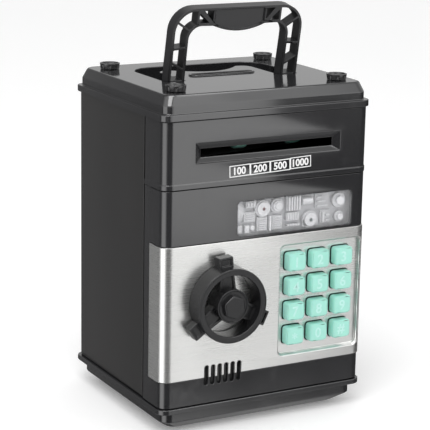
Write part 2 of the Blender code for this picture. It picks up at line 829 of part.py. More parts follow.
def build_door():
    shell = piece(
        "door_shell", prism(front_outline(0), DOOR_BOTTOM, DOOR_TOP), "black_case", (HINGE_X, HINGE_Y, 0)
    )
    inner_corner = FRONT_CORNER - FRONT_WALL
    front_thickness = FRONT_WALL + 0.2
    cut(
        shell,
        prism(
            box_outline(
                -FRONT_X + FRONT_WALL,
                FRONT_X - FRONT_WALL,
                FRONT_Y + front_thickness,
                FRONT_REAR_Y + 1,
                (inner_corner, inner_corner, 0, 0),
            ),
            DOOR_BOTTOM + FRONT_WALL,
            DOOR_TOP - FRONT_WALL,
        ),
    )
    # The eyes reach past the rear edge, so each is joined on and then bored for its pin.
    join(shell, door_ear(DOOR_BOTTOM + 0.01, DOOR_BOTTOM + FRONT_WALL + 0.5))
    join(shell, door_ear(DOOR_TOP - FRONT_WALL - 0.5, DOOR_TOP - 0.01))
    cut(shell, rod((HINGE_X, HINGE_Y), PIN_RADIUS_HOLE, DOOR_BOTTOM - 1, DOOR_BOTTOM + 5, steps=16))
    cut(shell, rod((HINGE_X, HINGE_Y), PIN_RADIUS_HOLE, DOOR_TOP - 5, DOOR_TOP + 1, steps=16))
    # A band all round the front and sides, which the silver plate lies in.
    depth = PLATE_THICKNESS - PLATE_PROUD + FIT_GAP
    band = lofted(
        [
            (front_outline(3, PLATE_REAR_Y + FIT_GAP), PLATE_BOTTOM - FIT_GAP),
            (front_outline(3, PLATE_REAR_Y + FIT_GAP), PLATE_TOP + FIT_GAP),
        ]
    )
    keep = prism(front_outline(-depth, FRONT_REAR_Y + 3), PLATE_BOTTOM - 2, PLATE_TOP + 2)
    keeper = as_object("band_core", keep)
    keeper.hide_render = True
    keeper.display_type = "WIRE"
    cut(shell, band)
    band_tool = shell.modifiers[-1].object
    core = band_tool.modifiers.new("core", "BOOLEAN")
    core.operation = "DIFFERENCE"
    core.object = keeper
    core.solver = "EXACT"
    # Openings in the front wall: keypad tray, window, dial spindle and speaker slots.
    through = (FRONT_Y - 2, FRONT_Y + front_thickness + 2)
    room = TRAY_WALL + FIT_GAP
    cut(
        shell,
        prism(
            box_outline(
                TRAY_LEFT - room, TRAY_RIGHT + room, TRAY_BOTTOM - room, TRAY_TOP + room, TRAY_CORNER
            ),
            *through,
            "Y",
        ),
    )
    cut(
        shell,
        prism(
            box_outline(WINDOW_LEFT, WINDOW_RIGHT, WINDOW_BOTTOM, WINDOW_TOP, WINDOW_CORNER), *through, "Y"
        ),
    )
    cut(shell, rod((DIAL_X, DIAL_Z), SPINDLE_RADIUS + PIN_GAP, *through, "Y", 24))
    cut(shell, speaker_slots(*through))

    cover = piece(
        "door_back_cover",
        prism(
            box_outline(
                -FRONT_X + FRONT_WALL + LIP_GAP + LIP_THICKNESS + 1.1,
                FRONT_X - FRONT_WALL - FIT_GAP,
                DOOR_BOTTOM + FRONT_WALL + 1.0,
                DOOR_TOP - FRONT_WALL - 1.0,
            ),
            BACK_COVER_Y,
            BACK_COVER_Y + BACK_COVER_THICKNESS,
            "Y",
        ),
        "black_matt",
        (HINGE_X, HINGE_Y, 0),
    )
    cut(cover, rod((DIAL_X, DIAL_Z), SPINDLE_RADIUS + PIN_GAP, BACK_COVER_Y - 1, FRONT_REAR_Y, "Y", 24))
    corner = PIN_RADIUS_HOLE + 2
    for low, high in ((DOOR_BOTTOM, DOOR_BOTTOM + 6), (DOOR_TOP - 6, DOOR_TOP)):
        cut(cover, block((HINGE_X - corner, FRONT_X), (BACK_COVER_Y - 1, FRONT_REAR_Y), (low, high)))

    for name, low, high in (
        ("hinge_pin_lower", BASE_TOP - PIN_BITE, DOOR_BOTTOM + FRONT_WALL + 1.5),
        ("hinge_pin_upper", DOOR_TOP - FRONT_WALL - 1.5, SEAM_Z + PIN_BITE - FIT_GAP),
    ):
        piece(name, rod((HINGE_X, HINGE_Y), PIN_RADIUS, low, high, steps=16), "steel")


def speaker_slots(low, high):
    """Six upright slots with round ends."""
    length = SLOT_TOP - SLOT_BOTTOM
    middle = (SLOT_TOP + SLOT_BOTTOM) / 2
    slots = []
    for index in range(SLOT_COUNT):
        x = SLOT_LEFT_X + index * SLOT_PITCH
        outline = turned(stadium_outline((x, middle), length, SLOT_WIDTH), math.pi / 2, (x, middle))
        slots.append(prism(outline, low, high, "Y"))
    return together(*slots)


def build_plate():
    plate = piece(
        "silver_plate",
        prism(front_outline(PLATE_PROUD, PLATE_REAR_Y), PLATE_BOTTOM, PLATE_TOP),
        "silver",
        (HINGE_X, HINGE_Y, 0),
    )
    inside = PLATE_PROUD - PLATE_THICKNESS
    cut(plate, prism(front_outline(inside, PLATE_REAR_Y + 2), PLATE_BOTTOM - 1, PLATE_TOP + 1))
    tray_back = TRAY_FLOOR_Y + PLATE_THICKNESS
    join(
        plate,
        prism(
            box_outline(
                TRAY_LEFT - TRAY_WALL,
                TRAY_RIGHT + TRAY_WALL,
                TRAY_BOTTOM - TRAY_WALL,
                TRAY_TOP + TRAY_WALL,
                TRAY_CORNER,
            ),
            PLATE_Y + PLATE_THICKNESS / 2,
            tray_back,
            "Y",
        ),
    )
    pocket = []
    for y, inset in (
        (PLATE_Y - 1, -TRAY_BEVEL), (PLATE_Y, -TRAY_BEVEL), (PLATE_Y + 1.2, 0), (TRAY_FLOOR_Y, 0)
    ):
        outline = box_outline(
            TRAY_LEFT + inset, TRAY_RIGHT - inset, TRAY_BOTTOM + inset, TRAY_TOP - inset, TRAY_CORNER
        )
        pocket.append((outline, y))
    cut(plate, lofted(pocket, "Y"))
    holes = []
    for x, z in key_places():
        half_x, half_z = KEY_WIDTH / 2 + KEY_HOLE_GAP, KEY_HEIGHT / 2 + KEY_HOLE_GAP
        outline = box_outline(x - half_x, x + half_x, z - half_z, z + half_z, KEY_CORNER, 2)
        holes.append(prism(outline, TRAY_FLOOR_Y - 1, tray_back + 1, "Y"))
    cut(plate, together(*holes))
    cut(plate, rod((DIAL_X, DIAL_Z), SPINDLE_RADIUS + PIN_GAP, PLATE_Y - 1, PLATE_Y + 3, "Y", 24))
    cut(plate, speaker_slots(PLATE_Y - 1, PLATE_Y + 3))


def key_places():
    """Key centres, row by row from the top."""
    return [
        (KEY_LEFT_X + column * KEY_PITCH_X, KEY_TOP_Z - row * KEY_PITCH_Z)
        for row in range(KEY_ROWS)
        for column in range(KEY_COLUMNS)
    ]


def build_keypad():
    names = ("1", "2", "3", "4", "5", "6", "7", "8", "9", "star", "0", "hash")
    face_y = PLATE_Y - KEY_PROUD
    for name, (x, z) in zip(names, key_places()):

        def around(grow, corner):
            return box_outline(
                x - KEY_WIDTH / 2 - grow,
                x + KEY_WIDTH / 2 + grow,
                z - KEY_HEIGHT / 2 - grow,
                z + KEY_HEIGHT / 2 + grow,
                corner,
                2,
            )

        key = piece(
            f"key_{name}",
            lofted(
                [
                    (around(-KEY_EDGE, KEY_CORNER), face_y),
                    (around(-KEY_EDGE * 0.3, KEY_CORNER), face_y + KEY_EDGE * 0.35),
                    (around(0, KEY_CORNER), face_y + KEY_EDGE * 1.3),
                    (around(0, KEY_CORNER), KEY_FLANGE_Y),
                    (around(KEY_FLANGE, KEY_CORNER), KEY_FLANGE_Y),
                    (around(KEY_FLANGE, KEY_CORNER), KEY_FLANGE_Y + KEY_FLANGE_THICKNESS),
                ],
                "Y",
            ),
            "mint",
            (x, face_y, z),
        )
        key["travel_mm"] = KEY_TRAVEL
    sheet = box_outline(TRAY_LEFT, TRAY_RIGHT, TRAY_BOTTOM, TRAY_TOP, TRAY_CORNER)
    piece("key_membrane", prism(sheet, MEMBRANE_Y, MEMBRANE_Y + MEMBRANE_THICKNESS, "Y"), "rubber")
    piece("keypad_board", prism(sheet, BOARD_Y, BOARD_Y + BOARD_THICKNESS, "Y"), "board")


def build_window():
    gap = FIT_GAP
    piece(
        "window_lens",
        prism(
            box_outline(
                WINDOW_LEFT + gap, WINDOW_RIGHT - gap, WINDOW_BOTTOM + gap, WINDOW_TOP - gap, WINDOW_CORNER
            ),
            FRONT_Y,
            LENS_BACK_Y,
            "Y",
        ),
        "clear",
    )
    margin = RELIEF_MARGIN
    relief = piece(
        "relief_panel",
        prism(
            box_outline(
                WINDOW_LEFT - margin, WINDOW_RIGHT + margin, WINDOW_BOTTOM - margin, WINDOW_TOP + margin, 2
            ),
            RELIEF_BASE_Y,
            RELIEF_BASE_Y + RELIEF_BASE,
            "Y",
        ),
        "relief",
    )
    left, right, low, high = WINDOW_LEFT + 1, WINDOW_RIGHT - 1, WINDOW_BOTTOM + 1, WINDOW_TOP - 1
    raised = (
        (box_outline(left, left + 12, high - 5, high - 1, 1), 0.5),
        (circle_outline(LED_RED_AT, 5.0, 24), 0.9),
        (box_outline(9, 22, low + 8, high - 1, 1), 0.6),
        (circle_outline((29, 121), 4.6, 24), 0.75),
        (box_outline(22.5, 35.5, low, low + 7, 1), 0.8),
        (box_outline(38, right, low + 2, high - 2, 1.5), 0.55),
    )
    for outline, share in raised:
        join(
            relief,
            prism(outline, RELIEF_BASE_Y - RELIEF_DEPTH * share, RELIEF_BASE_Y + RELIEF_BASE / 2, "Y"),
        )
    bores = [
        rod(place, LED_RADIUS + PIN_GAP, RELIEF_TOP_Y - 1, RELIEF_BASE_Y + 5, "Y", 16)
        for place in (LED_RED_AT, LED_GREEN_AT)
    ]
    cut(relief, together(*bores))
    for name, place, finish in (
        ("led_red", LED_RED_AT, "red_led"), ("led_green", LED_GREEN_AT, "green_led")
    ):
        tip = RELIEF_TOP_Y + 0.1
        profile = [
            (0, tip),
            (LED_RADIUS * 0.7, tip + 0.3),
            (LED_RADIUS, tip + 1.0),
            (LED_RADIUS, MAIN_BOARD_Y - FIT_GAP),
            (0, MAIN_BOARD_Y - FIT_GAP),
        ]
        piece(name, lathed(profile, place, "Y", 16), finish)
    piece(
        "main_board",
        prism(
            box_outline(
                WINDOW_LEFT - margin, WINDOW_RIGHT + margin, WINDOW_BOTTOM + 1, WINDOW_TOP + margin
            ),
            MAIN_BOARD_Y,
            MAIN_BOARD_Y + BOARD_THICKNESS,
            "Y",
        ),
        "board",
    )


def build_speaker():
    x = SLOT_LEFT_X + SLOT_PITCH * (SLOT_COUNT - 1) / 2
    z = (SLOT_BOTTOM + SLOT_TOP) / 2 + 1.5
    front = FRONT_Y + FRONT_WALL + 0.2 + FIT_GAP
    profile = [
        (0, front + 2.5),
        (SPEAKER_RADIUS * 0.35, front + 2.5),
        (SPEAKER_RADIUS * 0.85, front + 0.6),
        (SPEAKER_RADIUS * 0.88, front),
        (SPEAKER_RADIUS, front),
        (SPEAKER_RADIUS, front + 2),
        (SPEAKER_RADIUS * 0.6, front + SPEAKER_DEPTH * 0.6),
        (SPEAKER_RADIUS * 0.6, front + SPEAKER_DEPTH),
        (0, front + SPEAKER_DEPTH),
    ]
    piece("speaker", lathed(profile, (x, z), "Y", 32), "steel")


# Dial and latch


def spoke_outline(angle, inner, outer, shrink):
    """A bar from the hub outwards that narrows as far as the rim and then runs parallel."""
    root, tip = SPOKE_ROOT_WIDTH / 2 - shrink, SPOKE_TIP_WIDTH / 2 - shrink
    shape = [
        (inner, -root),
        (DIAL_RADIUS - 1, -tip),
        (outer, -tip),
        (outer, tip),
        (DIAL_RADIUS - 1, tip),
        (inner, root),
    ]
    placed = [(DIAL_X + x, DIAL_Z + z) for x, z in shape]
    return turned(placed, angle, (DIAL_X, DIAL_Z))


def build_dial():
    pivot = (DIAL_X, DIAL_FRONT_Y, DIAL_Z)
    centre = (DIAL_X, DIAL_Z)
    inner = DIAL_RADIUS - DIAL_RIM
    edge = 0.6
    knob = piece(
        "dial_knob",
        lathed(
            [
                (inner + edge, DIAL_FRONT_Y),
                (DIAL_RADIUS - edge, DIAL_FRONT_Y),
                (DIAL_RADIUS, DIAL_FRONT_Y + edge),
                (DIAL_RADIUS, DIAL_BACK_Y),
                (inner, DIAL_BACK_Y),
                (inner, DIAL_FRONT_Y + edge),
            ],
            centre,
            "Y",
            48,
        ),
        "black_matt",
        pivot,
    )
    spoke_front = DIAL_FRONT_Y + SPOKE_SETBACK
    spoke_back = spoke_front + SPOKE_DEPTH
    angles = [math.pi / 2 + DIAL_TURN + 2 * math.pi * k / SPOKE_COUNT for k in range(SPOKE_COUNT)]
    for angle in angles:
        join(knob, prism(spoke_outline(angle, 2, SPOKE_REACH, 0), spoke_front, spoke_back, "Y"))
    join(
        knob,
        lathed(
            [
                (0, DIAL_FRONT_Y + 0.01),
                (HUB_RADIUS - edge, DIAL_FRONT_Y + 0.01),
                (HUB_RADIUS, DIAL_FRONT_Y + edge),
                (HUB_RADIUS, DIAL_BACK_Y - 0.01),
                (0, DIAL_BACK_Y - 0.01),
            ],
            centre,
            "Y",
            40,
        ),
    )
    pockets = []
    for angle in angles:
        for start, end in (
            (HUB_RADIUS + SPOKE_BORDER, inner - SPOKE_BORDER / 2),
            (DIAL_RADIUS + 0.9, SPOKE_REACH - SPOKE_BORDER),
        ):
            root, tip = SPOKE_ROOT_WIDTH / 2 - SPOKE_BORDER, SPOKE_TIP_WIDTH / 2 - SPOKE_BORDER
            near = root + (tip - root) * (start - 2) / (DIAL_RADIUS - 3) if start < DIAL_RADIUS else tip
            shape = [(start, -near), (end, -tip), (end, tip), (start, near)]
            placed = turned([(DIAL_X + x, DIAL_Z + z) for x, z in shape], angle, centre)
            pockets.append(prism(placed, spoke_front - 1, spoke_front + SPOKE_POCKET, "Y"))
    cut(knob, together(*pockets))
    head_radius = BOLT_ACROSS / 2 / math.cos(math.pi / 6)
    seat = turned(circle_outline(centre, head_radius + FIT_GAP, 6), BOLT_TURN, centre)
    seat_y = DIAL_FRONT_Y + BOLT_SEAT
    spindle_y = DIAL_FRONT_Y + SPINDLE_FRONT
    cut(knob, prism(seat, DIAL_FRONT_Y - 1, seat_y, "Y"))
    cut(knob, rod(centre, BOLT_SHANK_RADIUS + PIN_GAP, seat_y - 0.5, spindle_y, "Y", 16))
    cut(knob, rod(centre, SPINDLE_RADIUS + PIN_GAP, spindle_y - FIT_GAP, DIAL_BACK_Y + 1, "Y", 24))

    head_back = seat_y - FIT_GAP
    edge = BOLT_EDGE
    sides = turned(circle_outline(centre, head_radius, 6), BOLT_TURN, centre)
    small = turned(circle_outline(centre, head_radius - edge, 6), BOLT_TURN, centre)
    bolt = piece(
        "dial_bolt",
        lofted(
            [
                (small, DIAL_FRONT_Y - BOLT_PROUD),
                (sides, DIAL_FRONT_Y - BOLT_PROUD + edge),
                (sides, head_back),
            ],
            "Y",
        ),
        "black_matt",
        pivot,
    )
    join(bolt, rod(centre, BOLT_SHANK_RADIUS, head_back - 0.5, head_back + BOLT_SHANK_LENGTH, "Y", 16))

    cam_back = CAM_Y + CAM_THICKNESS
    spindle = piece(
        "dial_spindle", rod(centre, SPINDLE_RADIUS, spindle_y, CAM_Y - FIT_GAP, "Y", 24), "steel", pivot
    )
    cut(
        spindle,
        rod(
            centre,
            BOLT_SHANK_RADIUS + PIN_GAP,
            spindle_y - 1,
            head_back + BOLT_SHANK_LENGTH + FIT_GAP,
            "Y",
            16,
        ),
    )
    join(spindle, rod(centre, SPINDLE_RADIUS - 0.8, CAM_Y - 1, cam_back + 0.6, "Y", 24))

    cam = piece("latch_cam", rod(centre, CAM_RADIUS, CAM_Y, cam_back, "Y", 40), "steel", pivot)
    half = TONGUE_WIDTH / 2
    tongue = box_outline(DIAL_X - half, DIAL_X + half, DIAL_Z - TONGUE_REACH, DIAL_Z - 3, (2, 2, 0, 0))
    join(cam, prism(tongue, CAM_Y + 0.01, cam_back - 0.01, "Y"))
    # One notch holds the dial when it is open and the other when it is locked, a quarter turn on.
    gap = NOTCH_WIDTH / 2
    floor = CAM_RADIUS - NOTCH_DEPTH
    notches = (
        box_outline(DIAL_X - gap, DIAL_X + gap, DIAL_Z + floor, DIAL_Z + CAM_RADIUS + 1),
        box_outline(DIAL_X - CAM_RADIUS - 1, DIAL_X - floor, DIAL_Z - gap, DIAL_Z + gap),
    )
    cut(cam, together(*[prism(notch, CAM_Y - 1, cam_back + 1, "Y") for notch in notches]))
    cut(cam, rod(centre, SPINDLE_RADIUS - 0.8 + PIN_GAP, CAM_Y - 1, cam_back + 1, "Y", 24))


def build_solenoid():
    y = CAM_Y + CAM_THICKNESS / 2
    low = DIAL_Z + CAM_RADIUS + SOLENOID_GAP
    front = FRONT_REAR_Y - RUN_GAP + FIT_GAP
    body = piece(
        "solenoid",
        block(
            (DIAL_X - SOLENOID_WIDTH / 2, DIAL_X + SOLENOID_WIDTH / 2),
            (front, front + SOLENOID_DEPTH),
            (low, low + SOLENOID_HEIGHT),
        ),
        "copper",
        (DIAL_X, y, low),
    )
    bottom = DIAL_Z + CAM_RADIUS + RUN_GAP
    top = bottom + PLUNGER_LENGTH
    cut(body, rod((DIAL_X, y), PLUNGER_RADIUS + PIN_GAP, low - 1, top + FIT_GAP))
    piece(
        "solenoid_plunger",
        rod((DIAL_X, y), PLUNGER_RADIUS, bottom, top, steps=20),
        "steel",
        (DIAL_X, y, bottom),
    )


# Fascia and note feeder


def build_fascia():
    high = CAP_FLANGE_BOTTOM - FIT_GAP
    ridge_top = SEAM_Z + RIDGE_HEIGHT
    fascia = piece(
        "front_fascia",
        lofted(
            [
                (front_outline(RIDGE_PROUD), SEAM_Z),
                (front_outline(RIDGE_PROUD), ridge_top),
                (front_outline(0), ridge_top + RIDGE_PROUD / 2),
                (front_outline(0), high),
            ]
        ),
        "black_case",
    )
    inner_corner = FRONT_CORNER - FRONT_WALL
    cut(
        fascia,
        prism(
            box_outline(
                -FRONT_X + FRONT_WALL,
                FRONT_X - FRONT_WALL,
                FRONT_Y + FRONT_WALL,
                FRONT_REAR_Y + 1,
                (inner_corner, inner_corner, 0, 0),
            ),
            ridge_top,
            high + 1,
        ),
    )
    join(fascia, rod((HINGE_X, HINGE_Y), FEED_HINGE_EAR, SEAM_Z + 0.01, ridge_top - 0.01, steps=24))
    cut(fascia, rod((HINGE_X, HINGE_Y), PIN_RADIUS_HOLE, SEAM_Z - 1, SEAM_Z + PIN_BITE, steps=16))
    margin = NOTE_BLOCK_MARGIN
    join(
        fascia,
        block(
            (-NOTE_FUNNEL_HALF - margin, NOTE_FUNNEL_HALF + margin),
            (FRONT_Y + FRONT_WALL / 2, FRONT_Y + NOTE_BLOCK_DEPTH),
            (NOTE_FUNNEL_BOTTOM - margin, NOTE_FUNNEL_TOP + margin),
        ),
    )
    bevel = 0.4
    mouth = box_outline(-NOTE_FUNNEL_HALF, NOTE_FUNNEL_HALF, NOTE_FUNNEL_BOTTOM, NOTE_FUNNEL_TOP)
    throat = box_outline(
        -NOTE_SLOT_HALF - bevel, NOTE_SLOT_HALF + bevel, NOTE_SLOT_BOTTOM - bevel, NOTE_SLOT_TOP + bevel
    )
    cut(
        fascia, lofted([(mouth, FRONT_Y - 1), (mouth, FRONT_Y), (throat, FRONT_Y + NOTE_FUNNEL_DEPTH)], "Y")
    )
    slit = box_outline(-NOTE_SLOT_HALF, NOTE_SLOT_HALF, NOTE_SLOT_BOTTOM, NOTE_SLOT_TOP)
    cut(fascia, prism(slit, FRONT_Y + NOTE_FUNNEL_DEPTH - 1, FRONT_Y + NOTE_BLOCK_DEPTH + 1, "Y"))


def motor_axis():
    """Centre of the motor's shaft, in Y and Z: behind the feed shaft, where the two gears mesh."""
    distance = GEAR_MODULE * (GEAR_TEETH + PINION_TEETH) / 2 + GEAR_PLAY
    return (FEED_Y + distance, FEED_Z)


def build_feeder():
    cheek = TRAY_HALF
    frame = piece(
        "feeder_frame",
        block(
            (-cheek, cheek),
            (FEED_TRAY_FRONT, FEED_TRAY_REAR),
            (FEED_TRAY_Z - FEED_TRAY_THICKNESS, FEED_TRAY_Z),
        ),
        "black_matt",
    )
    for side in (-1, 1):
        edges = sorted((side * cheek, side * (cheek - CHEEK_THICKNESS)))
        join(
            frame,
            block(
                edges,
                (FEED_TRAY_FRONT + 0.01, FEED_TRAY_REAR + 6),
                (FEED_TRAY_Z - FEED_TRAY_THICKNESS + 0.01, CHEEK_TOP),
            ),
        )
    reach = cheek + GEAR_STANDOFF + GEAR_WIDTH + 1
    cut(frame, rod((FEED_Y, FEED_Z), FEED_SHAFT_RADIUS + PIN_GAP, -cheek - 1, cheek + 1, "X", 20))
    motor_y, motor_z = motor_axis()
    cut(
        frame,
        rod((motor_y, motor_z), MOTOR_SHAFT_RADIUS + 1.2, cheek - CHEEK_THICKNESS - 1, cheek + 1, "X", 20),
    )

    pivot = (0, FEED_Y, FEED_Z)
    piece(
        "feed_shaft", rod((FEED_Y, FEED_Z), FEED_SHAFT_RADIUS, -cheek - 1.5, reach, "X", 20), "steel", pivot
    )
    bore = FEED_SHAFT_RADIUS + PIN_GAP
    crown = 0.5
    for name, offset in (("feed_wheel_left", -FEED_WHEEL_X), ("feed_wheel_right", FEED_WHEEL_X)):
        x = FEED_MIDDLE_X + offset
        left, right = x - FEED_WHEEL_WIDTH / 2, x + FEED_WHEEL_WIDTH / 2
        profile = [
            (bore, left),
            (FEED_WHEEL_RADIUS - crown, left),
            (FEED_WHEEL_RADIUS, left + crown * 2),
            (FEED_WHEEL_RADIUS, right - crown * 2),
            (FEED_WHEEL_RADIUS - crown, right),
            (bore, right),
        ]
        piece(name, lathed(profile, (FEED_Y, FEED_Z), "X", 28), "mint", pivot)
    gear_low = cheek + GEAR_STANDOFF
    gear_high = gear_low + GEAR_WIDTH
    gear = piece(
        "feed_gear",
        prism(gear_outline((FEED_Y, FEED_Z), GEAR_MODULE, GEAR_TEETH, 0), gear_low, gear_high, "X"),
        "mint",
        pivot,
    )
    cut(gear, rod((FEED_Y, FEED_Z), bore, gear_low - 1, gear_high + 1, "X", 20))
    # The pinion's teeth stand half a pitch on, so that one gap faces the feed gear's first tooth.
    phase = math.pi + math.pi / PINION_TEETH
    pinion = piece(
        "motor_pinion",
        prism(gear_outline((motor_y, motor_z), GEAR_MODULE, PINION_TEETH, phase), gear_low, gear_high, "X"),
        "steel",
        (0, motor_y, motor_z),
    )
    cut(pinion, rod((motor_y, motor_z), MOTOR_SHAFT_RADIUS + PIN_GAP, gear_low - 1, gear_high + 1, "X", 16))
    motor_right = cheek - CHEEK_THICKNESS - FIT_GAP
    motor = piece(
        "motor",
        rod((motor_y, motor_z), MOTOR_RADIUS, motor_right - MOTOR_LENGTH, motor_right, "X", 28),
        "steel",
    )
    join(motor, rod((motor_y, motor_z), MOTOR_SHAFT_RADIUS, motor_right - 2, gear_high, "X", 16))


# Cap


def trough_outline(grow):
    corner = HANDLE_OUTER_CORNER + TROUGH_GAP
    front = PIVOT_Y - trough_front_reach() - grow
    radii = (1.0, 1.0, corner, corner)
    return box_outline(-TROUGH_X - grow, TROUGH_X + grow, front, TROUGH_BACK_Y + grow, radii)


def trough_front_reach():
    """From the pivot to the front wall of the trough, which the leaning handle rests on."""
    rise = DECK_Z - PIVOT_Z
    return rise * math.tan(HANDLE_LEAN) + HANDLE_DEPTH / 2 / math.cos(HANDLE_LEAN) + FIT_GAP


def island_outline(grow):
    """The raised part inside the trough, hollowed at the back so that fingers reach the folded grip."""
    front = PIVOT_Y - trough_front_reach() - grow - 2
    half = ISLAND_X - grow
    back = ISLAND_BACK_Y - grow
    scoop = ISLAND_SCOOP_Y - grow
    reach = ISLAND_SCOOP_HALF + grow / 2
    corner = ISLAND_CORNER - grow
    curve = []
    steps = 10
    for i in range(steps + 1):
        share = 1 - 2 * i / steps
        curve.append((share * reach, scoop + (back - scoop) * share * share))
    right = arc((half - corner, back - corner), corner, 0, 90, 5)
    left = arc((-half + corner, back - corner), corner, 90, 180, 5)
    return [(-half, front), (half, front)] + right + curve + left


def build_cap():
    cap = piece(
        "top_cap",
        lofted(
            [
                (ring_outline(0, FLANGE_CORNER), CAP_FLANGE_BOTTOM),
                (ring_outline(0, FLANGE_CORNER), CAP_FLANGE_TOP),
                (ring_outline(CAP_WALL_INSET, FLANGE_CORNER), CAP_FLANGE_TOP),
                (ring_outline(CAP_WALL_INSET, FLANGE_CORNER), CAP_CHAMFER_BOTTOM),
                (ring_outline(CAP_DECK_INSET - 0.4, FLANGE_CORNER), DECK_Z - 1.2),
                (ring_outline(CAP_DECK_INSET, FLANGE_CORNER), DECK_Z - 0.4),
                (ring_outline(CAP_DECK_INSET + 0.6, FLANGE_CORNER), DECK_Z),
            ]
        ),
        "black_case",
    )
    inner = CAP_DECK_INSET + CAP_WALL
    ceiling = DECK_Z - CAP_DECK_THICKNESS
    cut(
        cap,
        lofted(
            [
                (ring_outline(inner, FLANGE_CORNER / 2), CAP_FLANGE_BOTTOM - 1),
                (ring_outline(inner, FLANGE_CORNER / 2), ceiling),
            ]
        ),
    )
    join(cap, prism(trough_outline(TROUGH_WALL), TROUGH_FLOOR - TROUGH_WALL, DECK_Z - 0.5))
    # The island keeps the cap hollow below it, so the coin slot passes straight through.
    cut(cap, prism(island_outline(TROUGH_WALL), TROUGH_FLOOR - TROUGH_WALL - 1, ceiling + 0.01))
    front = PIVOT_Y - trough_front_reach()
    trough = prism(trough_outline(0), TROUGH_FLOOR, DECK_Z + 3)
    cut(cap, trough)
    tool = cap.modifiers[-1].object
    island = as_object("trough_island", prism(island_outline(0), TROUGH_FLOOR - 1, DECK_Z + 4))
    island.hide_render = True
    island.display_type = "WIRE"
    hold = tool.modifiers.new("island", "BOOLEAN")
    hold.operation = "DIFFERENCE"
    hold.object = island
    hold.solver = "EXACT"
    eye = TRUNNION_RADIUS + PIN_GAP
    for side in (-1, 1):
        ends = sorted((side * (TROUGH_X - 1), side * (HANDLE_HALF + TRUNNION_REACH + FIT_GAP)))
        wall = sorted((side * (TROUGH_X + 0.01), side * (TROUGH_X + 3)))
        join(cap, block(wall, (front, PIVOT_Y + 5), (TROUGH_FLOOR - 1, ceiling + 0.5)))
        cut(cap, rod((PIVOT_Y, PIVOT_Z), eye, *ends, "X", 20))
    slot_length = COIN_SLOT_LENGTH + 2 * COIN_LIP
    slot_width = COIN_SLOT_WIDTH + 2 * COIN_LIP
    centre = (COIN_SLOT_X, COIN_SLOT_Y)
    lip = [
        (stadium_outline(centre, slot_length, slot_width), DECK_Z - 1),
        (stadium_outline(centre, slot_length, slot_width), DECK_Z + COIN_LIP_HEIGHT - 0.4),
        (stadium_outline(centre, slot_length - 0.8, slot_width - 0.8), DECK_Z + COIN_LIP_HEIGHT),
    ]
    join(cap, lofted(lip))
    cut(cap, prism(stadium_outline(centre, COIN_SLOT_LENGTH, COIN_SLOT_WIDTH), ceiling - 8, DECK_Z + 3))
    pegs = [
        rod(place, STUD_PEG_RADIUS + PIN_GAP, ceiling - 1, DECK_Z + 1, steps=16) for place in stud_places()
    ]
    cut(cap, together(*pegs))

    half_x = COIN_SLOT_LENGTH / 2 + CHUTE_ROOM
    half_y = COIN_SLOT_WIDTH / 2 + CHUTE_ROOM
    top = ceiling - FIT_GAP
    chute = piece(
        "coin_chute",
        prism(
            box_outline(
                COIN_SLOT_X - half_x - CHUTE_WALL,
                COIN_SLOT_X + half_x + CHUTE_WALL,
                COIN_SLOT_Y - half_y - CHUTE_WALL,
                COIN_SLOT_Y + half_y + CHUTE_WALL,
                2,
            ),
            top - CHUTE_DROP,
            top,
        ),
        "black_matt",
    )
    cut(
        chute,
        prism(
            box_outline(
                COIN_SLOT_X - half_x, COIN_SLOT_X + half_x, COIN_SLOT_Y - half_y, COIN_SLOT_Y + half_y, 1
            ),
            top - CHUTE_DROP - 1,
            top + 1,
        ),
    )


def stud_places():
    front, back = STUD_FRONT_Y, STUD_BACK_Y
    return ((-STUD_X, front), (STUD_X, front), (STUD_X, back), (-STUD_X, back))


def build_studs():
    names = ("front_left", "front_right", "back_right", "back_left")
    low = DECK_Z + FIT_GAP
    high = DECK_Z + STUD_HEIGHT
    for name, (x, y) in zip(names, stud_places()):
        profile = [
            (0, low - CAP_DECK_THICKNESS),
            (STUD_PEG_RADIUS, low - CAP_DECK_THICKNESS),
            (STUD_PEG_RADIUS, low),
            (STUD_RADIUS - STUD_TAPER, low),
            (STUD_RADIUS, high),
            (STUD_RADIUS - STUD_RIM, high),
            (STUD_RADIUS - STUD_RIM - STUD_TAPER, high - STUD_DISH),
            (0, high - STUD_DISH),
        ]
        stud = piece(f"stud_{name}", lathed(profile, (x, y), "Z", 32), "black_matt")
        flutes = []
        for index in range(STUD_FLUTES):
            angle = 2 * math.pi * (index + 0.5) / STUD_FLUTES
            away = STUD_RADIUS + STUD_FLUTE_RADIUS - STUD_FLUTE_DEPTH
            place = (x + away * math.cos(angle), y + away * math.sin(angle))
            flutes.append(rod(place, STUD_FLUTE_RADIUS, low - 1, high - STUD_FLUTE_TOP, steps=12))
        cut(stud, together(*flutes))


# Handle


def handle_arch(half, top, corner, steps=8):
    """One leg, over the top and down the other, as points in X and height over the pivot."""
    right = arc((half - corner, top - corner), corner, 0, 90, steps)
    left = arc((-half + corner, top - corner), corner, 90, 180, steps)
    return right + left


